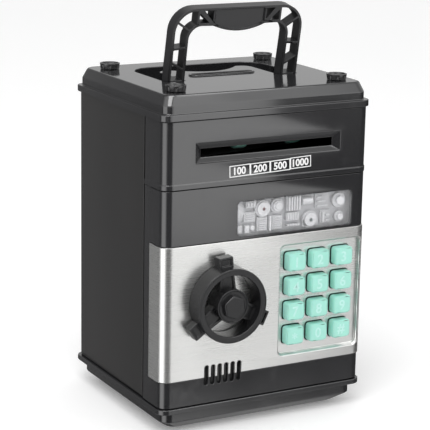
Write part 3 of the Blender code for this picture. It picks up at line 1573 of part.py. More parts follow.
def build_handle():
    inner_half = HANDLE_HALF - HANDLE_BAR
    under = HANDLE_HEIGHT - HANDLE_BAR
    foot = 0.0
    outside = [(HANDLE_HALF, foot)]
    outside += handle_arch(HANDLE_HALF, HANDLE_HEIGHT, HANDLE_OUTER_CORNER)
    outside.append((-HANDLE_HALF, foot))
    inside = [(inner_half, foot)]
    inside += handle_arch(inner_half, under, HANDLE_INNER_CORNER)
    inside.append((-inner_half, foot))
    outline = outside + inside[::-1]
    pivot = (0, PIVOT_Y, PIVOT_Z)

    def slab(points, depth):
        placed = [(x, PIVOT_Z + height) for x, height in points]
        return prism(placed, PIVOT_Y - depth / 2, PIVOT_Y + depth / 2, "Y")

    def lean(mesh):
        return moved(mesh, pivot, HANDLE_LEAN, "X")

    handle = piece("carrying_handle", lean(slab(outline, HANDLE_DEPTH)), "black_matt", pivot)

    # The frame between the rails is cut away, leaving straight webs.
    windows = [slab(window, HANDLE_DEPTH + 2) for window in handle_windows(inner_half, under)]
    cut(handle, lean(together(*windows)))
    join(handle, lean(slab(grip_outline(under, 0.02), HANDLE_DEPTH - 0.02)))
    for side in (-1, 1):
        face = PIVOT_Y + side * (HANDLE_DEPTH / 2 - GRIP_RECESS)
        placed = [(x, PIVOT_Z + height) for x, height in grip_outline(under, GRIP_RIM)]
        cut(handle, lean(prism(placed, *sorted((face, face + side * (GRIP_RECESS + 1))), "Y")))
        foot_ends = sorted((side * inner_half, side * HANDLE_HALF))
        join(handle, rod((PIVOT_Y, PIVOT_Z), HANDLE_DEPTH / 2 - 0.02, *foot_ends, "X", 24))
        ends = sorted((side * (HANDLE_HALF - HANDLE_RAIL / 2), side * (HANDLE_HALF + TRUNNION_REACH)))
        join(handle, rod((PIVOT_Y, PIVOT_Z), TRUNNION_RADIUS, *ends, "X", 20))


def grip_outline(under, inset, steps=12):
    """The block in the middle of the bar, with a belly below, drawn in by an inset."""
    half, top = GRIP_HALF - inset, HANDLE_HEIGHT - inset
    belly = []
    for i in range(steps + 1):
        share = -1 + 2 * i / steps
        belly.append((share * half, under + inset - GRIP_BELLY * (1 - share * share)))
    return belly + [(half, top), (-half, top)]


def handle_windows(inner_half, under):
    """The openings between the two rails, for the right half and mirrored for the left."""
    near, far = inner_half + HANDLE_RAIL, HANDLE_HALF - HANDLE_RAIL
    low, high = under + HANDLE_RAIL, HANDLE_HEIGHT - HANDLE_RAIL
    outer_corner = HANDLE_OUTER_CORNER - HANDLE_RAIL
    inner_corner = HANDLE_INNER_CORNER + HANDLE_RAIL
    outer_centre = (HANDLE_HALF - HANDLE_OUTER_CORNER, HANDLE_HEIGHT - HANDLE_OUTER_CORNER)
    inner_centre = (inner_half - HANDLE_INNER_CORNER, under - HANDLE_INNER_CORNER)
    half = HANDLE_WEB / 2
    inner_share, outer_share = math.degrees(half / inner_corner), math.degrees(half / outer_corner)
    post_right = POST_X + half
    post_angle = math.degrees(math.acos((post_right - inner_centre[0]) / inner_corner))
    brace_rise = (high - low) / (BRACE_TOP_X - BRACE_FOOT_X)
    brace_foot = BRACE_FOOT_X - half / brace_rise
    brace_side = GRIP_HALF - 1
    brace_low = low + (brace_side - brace_foot) * brace_rise + HANDLE_WEB
    windows = [
        [(near, WINDOW_FOOT), (far, WINDOW_FOOT), (far, WEB_LOW[1] - half), (near, WEB_LOW[0] - half)],
        [
            (near, WEB_LOW[0] + half),
            (far, WEB_LOW[1] + half),
            (far, WEB_HIGH[1] - half),
            (near, WEB_HIGH[0] - half),
        ],
        # The leg's upper window ends at the slanting web in the corner.
        [(near, WEB_HIGH[0] + half), (far, WEB_HIGH[1] + half)]
        + arc(outer_centre, outer_corner, 0, CORNER_WEB_OUTER - outer_share, 4)
        + arc(inner_centre, inner_corner, CORNER_WEB_INNER - inner_share, 0, 4),
        arc(inner_centre, inner_corner, post_angle, CORNER_WEB_INNER + inner_share, 4)
        + arc(outer_centre, outer_corner, CORNER_WEB_OUTER + outer_share, 88, 7)
        + [(post_right, high)],
        [(BRACE_FOOT_X + HANDLE_WEB, low), (POST_X - half, low), (POST_X - half, high - HANDLE_WEB)],
        [(brace_side, brace_low), (BRACE_TOP_X - HANDLE_WEB * 1.5, high), (brace_side, high)],
    ]
    mirrored = [[(-x, height) for x, height in window] for window in windows]
    return windows + mirrored


def main():
    clear_scene()
    build_base()
    build_batteries()
    build_case()
    build_door()
    build_plate()
    build_keypad()
    build_window()
    build_speaker()
    build_dial()
    build_solenoid()
    build_fascia()
    build_feeder()
    build_cap()
    build_studs()
    build_handle()


main()
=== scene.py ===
"""The looks of a toy savings bank: a black moulded case with a brushed silver door plate, a safe dial,
mint keys, a note slot with rollers, a window with a machine relief, and a folding handle.

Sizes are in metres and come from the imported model. The front faces -Y and +Z is up.
"""

import json
import math

import bmesh
import bpy
from mathutils import Matrix, Vector


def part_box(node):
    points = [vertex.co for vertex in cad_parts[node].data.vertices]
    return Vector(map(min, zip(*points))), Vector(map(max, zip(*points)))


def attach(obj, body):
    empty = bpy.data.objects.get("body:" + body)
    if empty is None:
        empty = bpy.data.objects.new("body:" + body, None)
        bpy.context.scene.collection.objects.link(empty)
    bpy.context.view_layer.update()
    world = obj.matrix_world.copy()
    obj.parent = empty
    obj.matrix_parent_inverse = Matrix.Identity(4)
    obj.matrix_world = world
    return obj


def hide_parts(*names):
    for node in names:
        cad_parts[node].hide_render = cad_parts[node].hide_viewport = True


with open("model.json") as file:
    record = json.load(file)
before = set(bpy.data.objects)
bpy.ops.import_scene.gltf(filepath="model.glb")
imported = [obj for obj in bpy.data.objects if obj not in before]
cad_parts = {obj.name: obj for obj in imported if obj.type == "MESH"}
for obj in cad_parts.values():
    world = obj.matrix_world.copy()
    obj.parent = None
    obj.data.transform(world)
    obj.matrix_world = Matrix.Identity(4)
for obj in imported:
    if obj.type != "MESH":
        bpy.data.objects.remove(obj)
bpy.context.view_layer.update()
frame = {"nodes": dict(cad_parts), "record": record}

MM = 0.001
RELIEF_FLOOR = 1.2 * MM  # thickness of the relief's plate
RELIEF_GAP = 0.3 * MM  # from the window to the relief's highest faces
RELIEF_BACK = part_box("relief_panel")[1].y - RELIEF_FLOOR
RELIEF_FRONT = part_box("window_lens")[1].y + RELIEF_GAP
BODIES = frame["record"]["behaviour"]["bodies"]
BODY_OF = {node: body for body, nodes in BODIES.items() for node in nodes}

# View of the bank: the camera's place from the middle of the footprint, and its turns in radians
CAMERA_PLACE = (-0.45472, -0.82038, 0.33772)
CAMERA_YAW = 0.504
CAMERA_PITCH = 0.242
CAMERA_ROLL = 0.019
CAMERA_LENS = 140.9
SENSOR = 36.0

# Roundings of the moulded edges
SHELL_EDGE = 0.45 * MM
SMALL_EDGE = 0.28 * MM
FINE_EDGE = 0.15 * MM
KEY_EDGE = SMALL_EDGE * 1.6
GEAR_EDGE = FINE_EDGE / 2

KEY_SHADE = 2.2 * MM  # from the silver plate's face to where the keys' painted shade begins

# Printing on the keys and below the note slot
PRINT_THICKNESS = 0.05 * MM
KEY_FIGURE_HEIGHT = 8.0 * MM
KEY_FIGURE_SHIFT = 0.5 * MM  # to the left of the key's middle
KEY_FIGURE_BOLD = 0.015
NOTE_VALUES = ("100", "200", "500", "1000")
LABEL_EDGES = (-24.6, -11.8, 0.6, 13.2, 26.4)  # upright sides of the frames, in millimetres
LABEL_LIFTS = (-0.2, 0.1, 0.5, 1.2)  # each frame stands a little higher than the one before
LABEL_Z = 145.3  # height of the frames' middles without the lifts, in millimetres
LABEL_HEIGHT = 6.4 * MM
LABEL_LINE = 0.5 * MM
LABEL_TILT = math.radians(2)
LABEL_FIGURE_HEIGHT = 5.5 * MM
LABEL_FIGURE_BOLD = 0.03
LABEL_SETBACK = 0.4 * MM  # from the ridge's front to the fascia's face

# Dial. A pocket is given by the border round it and its depth.
RING_RADIUS = 20.8 * MM
RING_INSIDE = 17.1 * MM
RING_EDGE = 0.55 * MM
GROOVE_RADIUS = 19.9 * MM  # of a fine groove in the ring's front
GROOVE_INSIDE = 19.65 * MM
GROOVE_DEPTH = 0.12 * MM
HUB_RADIUS = 9.4 * MM
HUB_POCKET = (0.9 * MM, 0.35 * MM)
SPOKE_TURNS = (94.5, 214.5, 334.5)  # degrees, counter-clockwise from the right
SPOKE_BACK = 5.0 * MM  # from the ring's front to the spokes' fronts
SPOKE_DEPTH = 5.9 * MM
SPOKE_START = 6 * MM
SPOKE_END = 26.2 * MM
SPOKE_HALF = 5 * MM  # half of its width
SPOKE_NARROWING = 0.86
SPOKE_POCKET = (1.3 * MM, 0.9 * MM)
GRIP_HALF = 4.2 * MM
GRIP_POCKET = (1.2 * MM, 1.0 * MM)
RING_BITE = 0.8 * MM  # how far the spokes and grips reach into the ring
BOLT_RADIUS = 6.93 * MM  # to its corners
BOLT_TURN = math.radians(-9)
BOLT_SEAT = 1.2 * MM  # from the ring's front to the back of the bolt's head
BOLT_RIM = 0.9 * MM
BOLT_BEVEL = 0.8 * MM
SHANK_RADIUS = 1.5 * MM


# Materials


class Wire:
    """A node's socket. Arithmetic on it adds Math nodes to the material."""

    def __init__(self, finish, socket):
        self.finish = finish
        self.socket = socket

    def maths(self, operation, first, second=None):
        values = {0: first} if second is None else {0: first, 1: second}
        return self.finish.add("ShaderNodeMath", {"operation": operation}, values)

    def __add__(self, other):
        return self.maths("ADD", self, other)

    def __sub__(self, other):
        return self.maths("SUBTRACT", self, other)

    def __rsub__(self, other):
        return self.maths("SUBTRACT", other, self)

    def __mul__(self, other):
        return self.maths("MULTIPLY", self, other)

    __radd__ = __add__
    __rmul__ = __mul__

    def above(self, limit):
        return self.maths("GREATER_THAN", self, limit)

    def below(self, limit):
        return self.maths("LESS_THAN", self, limit)

    def sine(self):
        return self.maths("SINE", self)

    def smooth(self, start, end, low=0.0, high=1.0):
        """Goes smoothly from low to high as the value goes from start to end."""
        settings = {"interpolation_type": "SMOOTHSTEP", "clamp": True}
        values = {0: self, 1: start, 2: end, 3: low, 4: high}
        return self.finish.add("ShaderNodeMapRange", settings, values)


class NodeWork:
    """Adds nodes to a tree: their settings first, then the values or links of their sockets."""

    def __init__(self, tree):
        self.tree = tree

    def add(self, kind, settings=None, sockets=None, output=0):
        node = self.tree.nodes.new(kind)
        for name, value in (settings or {}).items():
            setattr(node, name, value)
        for key, value in (sockets or {}).items():
            self.feed(node.inputs[key], value)
        return Wire(self, node.outputs[output])

    def feed(self, socket, value):
        if isinstance(value, Wire):
            self.tree.links.new(value.socket, socket)
        else:
            socket.default_value = value

    def place(self):
        """Where a point is on the bank, in metres."""
        return self.add("ShaderNodeTexCoord", output="Object")

    def axes(self):
        """The place split into its three numbers."""
        node = self.tree.nodes.new("ShaderNodeSeparateXYZ")
        self.tree.links.new(self.place().socket, node.inputs[0])
        return [Wire(self, output) for output in node.outputs]

    def noise(self, scale, detail=2.0, stretch=(1, 1, 1), rough=0.5):
        """Smooth random values round one half. scale is in bumps to a metre."""
        moved = self.add("ShaderNodeMapping", None, {"Vector": self.place(), "Scale": stretch})
        values = {"Vector": moved, "Scale": scale, "Detail": detail, "Roughness": rough}
        return self.add("ShaderNodeTexNoise", None, values)

    def mix(self, share, first, second):
        """One colour turning into another as share goes from 0 to 1."""
        node = self.tree.nodes.new("ShaderNodeMix")
        node.data_type = "RGBA"
        self.feed(node.inputs["Factor"], share)
        for socket, value in ((node.inputs[6], first), (node.inputs[7], second)):
            self.feed(socket, value if isinstance(value, Wire) else (*value, 1.0))
        return Wire(self, node.outputs[2])

    def bump(self, height, depth):
        return self.add("ShaderNodeBump", None, {"Height": height, "Distance": depth}, "Normal")


class Finish(NodeWork):
    """A material with one Principled shader, whose sockets take numbers, colours or wires."""

    def __init__(self, name, **constants):
        self.material = bpy.data.materials.new(name)
        self.material.use_nodes = True
        super().__init__(self.material.node_tree)
        self.shader = self.tree.nodes["Principled BSDF"]
        self.set(**constants)

    def set(self, **sockets):
        for name, value in sockets.items():
            socket = self.shader.inputs[name.replace("_", " ").title().replace("Ior", "IOR")]
            if isinstance(value, tuple):
                value = (*value, 1.0)
            self.feed(socket, value)
        return self.material


def moulded(name, colour, roughness, grain=0.002, grain_size=1800, gloss=1.8):
    """Injection-moulded plastic: faint flow marks, a fine skin and a few rubbed patches.

    gloss is its index of refraction.
    """
    made = Finish(name, ior=gloss)
    flow = made.noise(22, 3, (1, 1, 0.35))
    skin = made.noise(grain_size, 2)
    rubbed = made.noise(60, 5, rough=0.65).smooth(0.56, 0.72)
    darker = tuple(c * 0.88 for c in colour)
    lighter = tuple(c * 1.1 for c in colour)
    return made.set(
        base_color=made.mix(flow.smooth(0.3, 0.7), darker, lighter),
        roughness=roughness + (flow - 0.5) * 0.06 + (skin - 0.5) * 0.05 + rubbed * 0.04,
        normal=made.bump(skin, grain * MM),
    )


def brushed_silver():
    """Silver film on the door plate, brushed level with the ground all round the bank."""
    made = Finish("brushed_silver", metallic=0.9)
    lines = made.noise(1, 4, (30, 30, 6400), 0.6)
    bands = made.noise(1, 3, (7, 7, 300), 0.55)
    cloud = made.noise(14, 3)
    tone = lines * 0.7 + bands * 0.3
    return made.set(
        base_color=made.mix(tone.smooth(0.2, 0.8), (0.69, 0.69, 0.68), (0.745, 0.745, 0.73)),
        roughness=0.28 + (lines - 0.5) * 0.06 + (cloud - 0.5) * 0.05,
        normal=made.bump(lines * 0.8 + bands * 0.2, 0.0008 * MM),
    )


def mint_plastic(name, shaded_from=None):
    """Soft mint plastic. Behind the keypad's tray, from a place on Y on, it is painted nearly black as
    shade.
    """
    colour = (0.37, 0.76, 0.65)
    made = Finish(name, subsurface_weight=0.1, subsurface_scale=0.0015)
    flow = made.noise(90, 3)
    skin = made.noise(2400, 2)
    face = made.mix(flow.smooth(0.3, 0.7), tuple(c * 0.94 for c in colour), colour)
    if shaded_from is not None:
        # painted shade: behind the tray's face the keys turn nearly black
        painted_shade = made.axes()[1].smooth(shaded_from, shaded_from + 0.5 * MM)
        face = made.mix(painted_shade, face, (0.01, 0.022, 0.02))
    return made.set(
        base_color=face,
        roughness=0.36 + (skin - 0.5) * 0.08,
        normal=made.bump(skin, 0.002 * MM),
    )


def printed(name, colour):
    """Thin printed ink, a little worn."""
    made = Finish(name)
    worn = made.noise(900, 4, rough=0.7)
    return made.set(
        base_color=made.mix(worn.smooth(0.35, 0.75), colour, tuple(c * 0.86 for c in colour)),
        roughness=0.5 + (worn - 0.5) * 0.2,
        normal=made.bump(worn, 0.002 * MM),
    )


def clear_cover():
    """The clear window, faintly milky."""
    made = Finish("clear_cover", ior=1.49)
    haze = made.noise(260, 4)
    return made.set(
        base_color=made.mix(haze.smooth(0.35, 0.7), (0.62, 0.63, 0.64), (0.72, 0.73, 0.74)),
        roughness=0.05 + haze * 0.05,
        alpha=0.09 + haze * 0.05,
        normal=made.bump(haze, 0.001 * MM),
    )


def relief_silver():
    """Silver-sprayed plastic of the machine relief, with dusty patches, and painted shade that darkens it
    towards its back, in its hollows.
    """
    made = Finish("relief_silver", metallic=0.3)
    spray = made.noise(1500, 3)
    dust = made.noise(170, 4)
    # painted shade: the deeper a face lies towards the relief's back, the darker it is painted
    depth = made.axes()[1].smooth(RELIEF_FRONT, RELIEF_BACK)
    bright = made.mix(dust.smooth(0.35, 0.7), (0.78, 0.78, 0.80), (0.90, 0.90, 0.92))
    return made.set(
        base_color=made.mix(depth, bright, (0.50, 0.50, 0.52)),
        roughness=0.33 + (spray - 0.5) * 0.2,
        normal=made.bump(spray, 0.004 * MM),
    )


def lamp(name, colour, glow):
    """A small lamp's tinted dome, its tint varying at random."""
    made = Finish(name, coat_weight=0.6, coat_roughness=0.05, emission_strength=glow)
    cloud = made.noise(1200, 2)
    return made.set(
        base_color=made.mix(cloud, tuple(c * 0.7 for c in colour), colour),
        emission_color=colour,
        roughness=0.12 + cloud * 0.1,
    )


def worked_steel(name, colour=(0.56, 0.56, 0.57), roughness=0.28, stretch=(1, 1, 1)):
    """Plated steel with fine turning or rolling lines."""
    made = Finish(name, metallic=1.0)
    lines = made.noise(1500, 3, stretch)
    stain = made.noise(120, 4)
    return made.set(
        base_color=made.mix(stain.smooth(0.4, 0.75), colour, tuple(c * 0.8 for c in colour)),
        roughness=roughness + (lines - 0.5) * 0.25,
        normal=made.bump(lines, 0.003 * MM),
    )


def circuit_board():
    """Green lacquer over copper tracks."""
    made = Finish("circuit_board", coat_weight=0.4, coat_roughness=0.15)
    x, _, z = made.axes()
    jog = made.noise(160, 1)
    tracks = ((x * 2400 + jog * 9).sine().above(0.55)) * ((z * 1300 + jog * 7).sine().above(-0.2))
    return made.set(
        base_color=made.mix(tracks, (0.012, 0.11, 0.045), (0.03, 0.2, 0.09)),
        roughness=0.42 - tracks * 0.1,
        normal=made.bump(tracks, 0.03 * MM),
    )


def wound_copper():
    """The coil of the lock's solenoid: close turns of lacquered wire, with painted shade between the
    turns.
    """
    made = Finish("wound_copper", metallic=0.85)
    z = made.axes()[2]
    turn = (z * (2 * math.pi / (0.35 * MM))).sine() * 0.5 + 0.5
    stain = made.noise(300, 3)
    return made.set(
        # painted shade: the colour goes dark between the turns of wire and copper-bright on them
        base_color=made.mix(turn, (0.2, 0.07, 0.025), (0.62, 0.27, 0.1)),
        roughness=0.3 + stain * 0.15,
        normal=made.bump(turn, 0.12 * MM),
    )


def soft_rubber(name, colour):
    """Matt rubber with a dusty skin."""
    made = Finish(name)
    dust = made.noise(420, 5, rough=0.7)
    return made.set(
        base_color=made.mix(dust.smooth(0.4, 0.75), colour, tuple(c * 1.7 + 0.01 for c in colour)),
        roughness=0.72 + dust * 0.2,
        normal=made.bump(dust, 0.06 * MM),
    )


def cell_wrap():
    """A plain wrapped cell: a dark body and one pale band."""
    made = Finish("cell_wrap", metallic=0.3, coat_weight=0.5, coat_roughness=0.1)
    x = made.axes()[0]
    band = x.above(9 * MM) * x.below(21 * MM)
    wear = made.noise(500, 4)
    return made.set(
        base_color=made.mix(band, (0.03, 0.12, 0.06), (0.5, 0.47, 0.3)),
        roughness=0.28 + wear * 0.14,
        normal=made.bump(wear, 0.01 * MM),
    )


def note_tray():
    """Dull black plastic inside the note slot, scuffed along the way that the notes go."""
    made = Finish("note_tray")
    scuff = made.noise(1, 4, (2600, 120, 900), 0.6)
    return made.set(
        base_color=made.mix(scuff.smooth(0.5, 0.8), (0.012, 0.012, 0.013), (0.05, 0.05, 0.052)),
        roughness=0.5 + scuff * 0.2,
        normal=made.bump(scuff, 0.01 * MM),
    )


CASE_BLACK = moulded("case_black", (0.019, 0.019, 0.0205), 0.11, 0.0015, 1500)
SIDE_BLACK = moulded("side_black", (0.016, 0.0155, 0.0155), 0.2, 0.003, 1500)
HANDLE_BLACK = moulded("handle_black", (0.017, 0.017, 0.0185), 0.33, 0.004, 2200, 1.5)
DIAL_BLACK = moulded("dial_black", (0.014, 0.014, 0.015), 0.24, 0.003, 2200, 1.5)
STUD_BLACK = moulded("stud_black", (0.02, 0.02, 0.021), 0.26, 0.003, 2000)
INSIDE_BLACK = moulded("inside_black", (0.03, 0.03, 0.031), 0.5, 0.01, 1200)
SILVER = brushed_silver()
MINT = mint_plastic("mint_plastic")
KEY_MINT = mint_plastic("key_mint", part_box("silver_plate")[0].y + KEY_SHADE)
KEY_PRINT = printed("key_print", (0.52, 0.84, 0.77))
LABEL_PRINT = printed("label_print", (0.86, 0.86, 0.86))
COVER = clear_cover()
RELIEF = relief_silver()
RED_LAMP = lamp("red_lamp", (0.16, 0.025, 0.025), 0.03)
GREEN_LAMP = lamp("green_lamp", (0.015, 0.05, 0.045), 0.02)
STEEL = worked_steel("steel")
TURNED_STEEL = worked_steel("turned_steel", roughness=0.22, stretch=(0.1, 1, 1))
BOARD = circuit_board()
COPPER = wound_copper()
RUBBER = soft_rubber("foot_rubber", (0.03, 0.03, 0.03))
MEMBRANE = soft_rubber("membrane_rubber", (0.10, 0.10, 0.10))
CELL = cell_wrap()
TRAY = note_tray()


# Making pieces


def alone(obj):
    """Selects this object only and makes it the active one."""
    bpy.ops.object.select_all(action="DESELECT")
    obj.select_set(True)
    bpy.context.view_layer.objects.active = obj


def started(name, primitive, **settings):
    """A primitive, added with nothing else selected."""
    bpy.ops.object.select_all(action="DESELECT")
    primitive(**settings)
    obj = bpy.context.object
    obj.name = name
    bpy.ops.object.transform_apply(location=True, rotation=True, scale=True)
    return obj


def block(name, low, high):
    """A block between two corners."""
    low, high = Vector(low), Vector(high)
    middle, sides = (low + high) / 2, high - low
    return started(name, bpy.ops.mesh.primitive_cube_add, size=1, location=middle, scale=sides)


def disc(name, centre, radius, length, axis="Y", sides=40):
    """A cylinder along an axis, about its centre."""
    turns = {"X": (0, math.pi / 2, 0), "Y": (math.pi / 2, 0, 0), "Z": (0, 0, 0)}
    return started(
        name,
        bpy.ops.mesh.primitive_cylinder_add,
        vertices=sides,
        radius=radius,
        depth=length,
        location=centre,
        rotation=turns[axis],
    )


def pick_faces(obj, wanted):
    """In edit mode, selects the faces that answer to a test on their centre and normal."""
    bpy.ops.mesh.select_mode(type="FACE")
    bpy.ops.mesh.select_all(action="DESELECT")
    mesh = bmesh.from_edit_mesh(obj.data)
    for face in mesh.faces:
        face.select_set(bool(wanted(face.calc_center_median(), face.normal)))
    bmesh.update_edit_mesh(obj.data)


def pick_edges(obj, wanted):
    """In edit mode, selects the edges that answer to a test on their two ends."""
    bpy.ops.mesh.select_mode(type="EDGE")
    bpy.ops.mesh.select_all(action="DESELECT")
    mesh = bmesh.from_edit_mesh(obj.data)
    for edge in mesh.edges:
        edge.select_set(bool(wanted(edge.verts[0].co, edge.verts[1].co)))
    bmesh.update_edit_mesh(obj.data)


def applied(obj):
    """Applies all of an object's modifiers."""
    alone(obj)
    for modifier in list(obj.modifiers):
        bpy.ops.object.modifier_apply(modifier=modifier.name)
    return obj


def rounded(obj, width, segments=2, angle=30):
    """Rounds the edges that are sharper than an angle."""
    alone(obj)
    bpy.ops.object.shade_smooth_by_angle(angle=math.radians(50))
    modifier = obj.modifiers.new("rounding", "BEVEL")
    modifier.width = width
    modifier.segments = segments
    modifier.limit_method = "ANGLE"
    modifier.angle_limit = math.radians(angle)
    modifier.use_clamp_overlap = False
    modifier.harden_normals = True
    modifier.miter_outer = "MITER_ARC"
    return applied(obj)


def recessed(obj, cutter):
    """Cuts one shape out of another and takes the cutter away."""
    modifier = obj.modifiers.new("recess", "BOOLEAN")
    modifier.operation = "DIFFERENCE"
    modifier.object = cutter
    modifier.solver = "EXACT"
    applied(obj)
    bpy.data.objects.remove(cutter, do_unlink=True)
    return obj


def joined(name, *objs):
    """Several shapes as one piece."""
    bpy.ops.object.select_all(action="DESELECT")
    for obj in objs:
        obj.select_set(True)
    bpy.context.view_layer.objects.active = objs[0]
    if len(objs) > 1:
        bpy.ops.object.join()
    objs[0].name = name
    return objs[0]


def finished(obj, material, body, replaces=()):
    """Gives a piece its one material, its body and the nodes that it stands for."""
    obj.data.materials.clear()
    obj.data.materials.append(material)
    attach(obj, body)
    if replaces:
        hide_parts(*replaces)
    return obj


def merged_copy(node, flat=False):
    """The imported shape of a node, its loose triangles joined up, and into whole flat faces if asked."""
    source = frame["nodes"][node]
    obj = bpy.data.objects.new(f"{node}_shape", source.data.copy())
    bpy.context.scene.collection.objects.link(obj)
    alone(obj)
    bpy.ops.object.mode_set(mode="EDIT")
    bpy.ops.mesh.select_all(action="SELECT")
    bpy.ops.mesh.remove_doubles(threshold=0.002 * MM)
    bpy.ops.mesh.normals_make_consistent(inside=False)
    if flat:
        bpy.ops.mesh.dissolve_limited(angle_limit=math.radians(0.6))
    bpy.ops.object.mode_set(mode="OBJECT")
    obj.data.materials.clear()
    for name in [a.name for a in obj.data.attributes if a.name.startswith("custom_normal")]:
        obj.data.attributes.remove(obj.data.attributes[name])
    return obj


def softened(node, material, width, segments=2, angle=30, flat=False):
    """A node's shape with the small roundings of a moulding or a pressing. It stands for the node."""
    obj = rounded(merged_copy(node, flat), width, segments, angle)
    return finished(obj, material, BODY_OF[node], (node,))


def repaint(node, material):
    """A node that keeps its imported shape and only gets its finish."""
    obj = frame["nodes"][node]
    obj.data.materials.clear()
    obj.data.materials.append(material)


def writing(name, text, height, place, bold):
    """Figures that stand on the front, facing -Y, as a thin raised print centred on a place."""
    bpy.ops.object.select_all(action="DESELECT")
    bpy.ops.object.text_add()
    obj = bpy.context.object
    obj.data.body = text
    obj.data.align_x = "CENTER"
    obj.data.align_y = "CENTER"
    obj.data.extrude = PRINT_THICKNESS / 2 / height
    obj.data.offset = bold
    obj.data.resolution_u = 4
    bpy.ops.object.convert(target="MESH")
    obj = bpy.context.object
    obj.name = name
    upright = Matrix.Rotation(math.pi / 2, 4, "X")
    obj.data.transform(upright @ Matrix.Diagonal((height, height, height, 1)))
    alone(obj)
    bpy.ops.object.origin_set(type="GEOMETRY_ORIGIN", center="BOUNDS")
    obj.location = place
    bpy.ops.object.transform_apply(location=True, rotation=True, scale=True)
    return obj


def joint_place(name):
    """Where a joint's axis passes, in metres."""
    joints = {joint["name"]: joint for joint in frame["record"]["behaviour"]["joints"]}
    return Vector(joints[name]["pos_m"])


def about(centre, angle):
    """A turn about a line along Y through a place."""
    return Matrix.Translation(centre) @ Matrix.Rotation(angle, 4, "Y") @ Matrix.Translation(-centre)


def pocketed(obj, border, depth):
    """Sinks a pocket into the front of a shape, leaving a border all round."""
    alone(obj)
    bpy.ops.object.mode_set(mode="EDIT")
    pick_faces(obj, lambda centre, normal: normal.y < -0.9)
    bpy.ops.mesh.inset(thickness=border, depth=0)
    bpy.ops.mesh.inset(thickness=depth * 0.2, depth=-depth)
    bpy.ops.object.mode_set(mode="OBJECT")
    return obj


# The case


def dress_case():
    softened("case_shell", SIDE_BLACK, SHELL_EDGE)
    softened("base_pan", CASE_BLACK, SHELL_EDGE, 3)
    softened("top_cap", CASE_BLACK, SHELL_EDGE, 3, 20, flat=True)
    softened("front_fascia", CASE_BLACK, SMALL_EDGE, 3, flat=True)
    softened("battery_cover", INSIDE_BLACK, SMALL_EDGE)
    softened("strike_plate", STEEL, FINE_EDGE)
    softened("coin_chute", INSIDE_BLACK, SMALL_EDGE)
    for number in range(1, 5):
        softened(f"foot_{number}", RUBBER, SMALL_EDGE)
    for name in ("front_left", "front_right", "back_left", "back_right"):
        softened(f"stud_{name}", STUD_BLACK, FINE_EDGE)


def dress_feeder():
    softened("feeder_frame", TRAY, SMALL_EDGE)
    for node in ("feed_wheel_left", "feed_wheel_right"):
        softened(node, MINT, SMALL_EDGE)
    softened("feed_gear", MINT, GEAR_EDGE, 1)
    softened("motor_pinion", STEEL, GEAR_EDGE, 1)
    softened("motor", STEEL, SMALL_EDGE)
    repaint("feed_shaft", TURNED_STEEL)


def dress_battery_box():
    for number in range(1, 4):
        softened(f"battery_cell_{number}", CELL, SMALL_EDGE)
    for side in ("left", "right"):
        repaint(f"battery_contact_{side}", STEEL)
    softened("battery_cover_screw", STEEL, FINE_EDGE)


# The door


def dress_door():
    softened("door_shell", CASE_BLACK, SMALL_EDGE, 3)
    softened("door_back_cover", INSIDE_BLACK, SHELL_EDGE)
    softened("silver_plate", SILVER, SMALL_EDGE, 3, flat=True)
    softened("latch_cam", STEEL, FINE_EDGE)
    softened("solenoid", COPPER, SMALL_EDGE)
    repaint("solenoid_plunger", TURNED_STEEL)
    repaint("dial_spindle", TURNED_STEEL)
    repaint("hinge_pin_lower", STEEL)
    repaint("hinge_pin_upper", STEEL)
    repaint("key_membrane", MEMBRANE)
    repaint("keypad_board", BOARD)
    repaint("main_board", BOARD)
    repaint("speaker", INSIDE_BLACK)


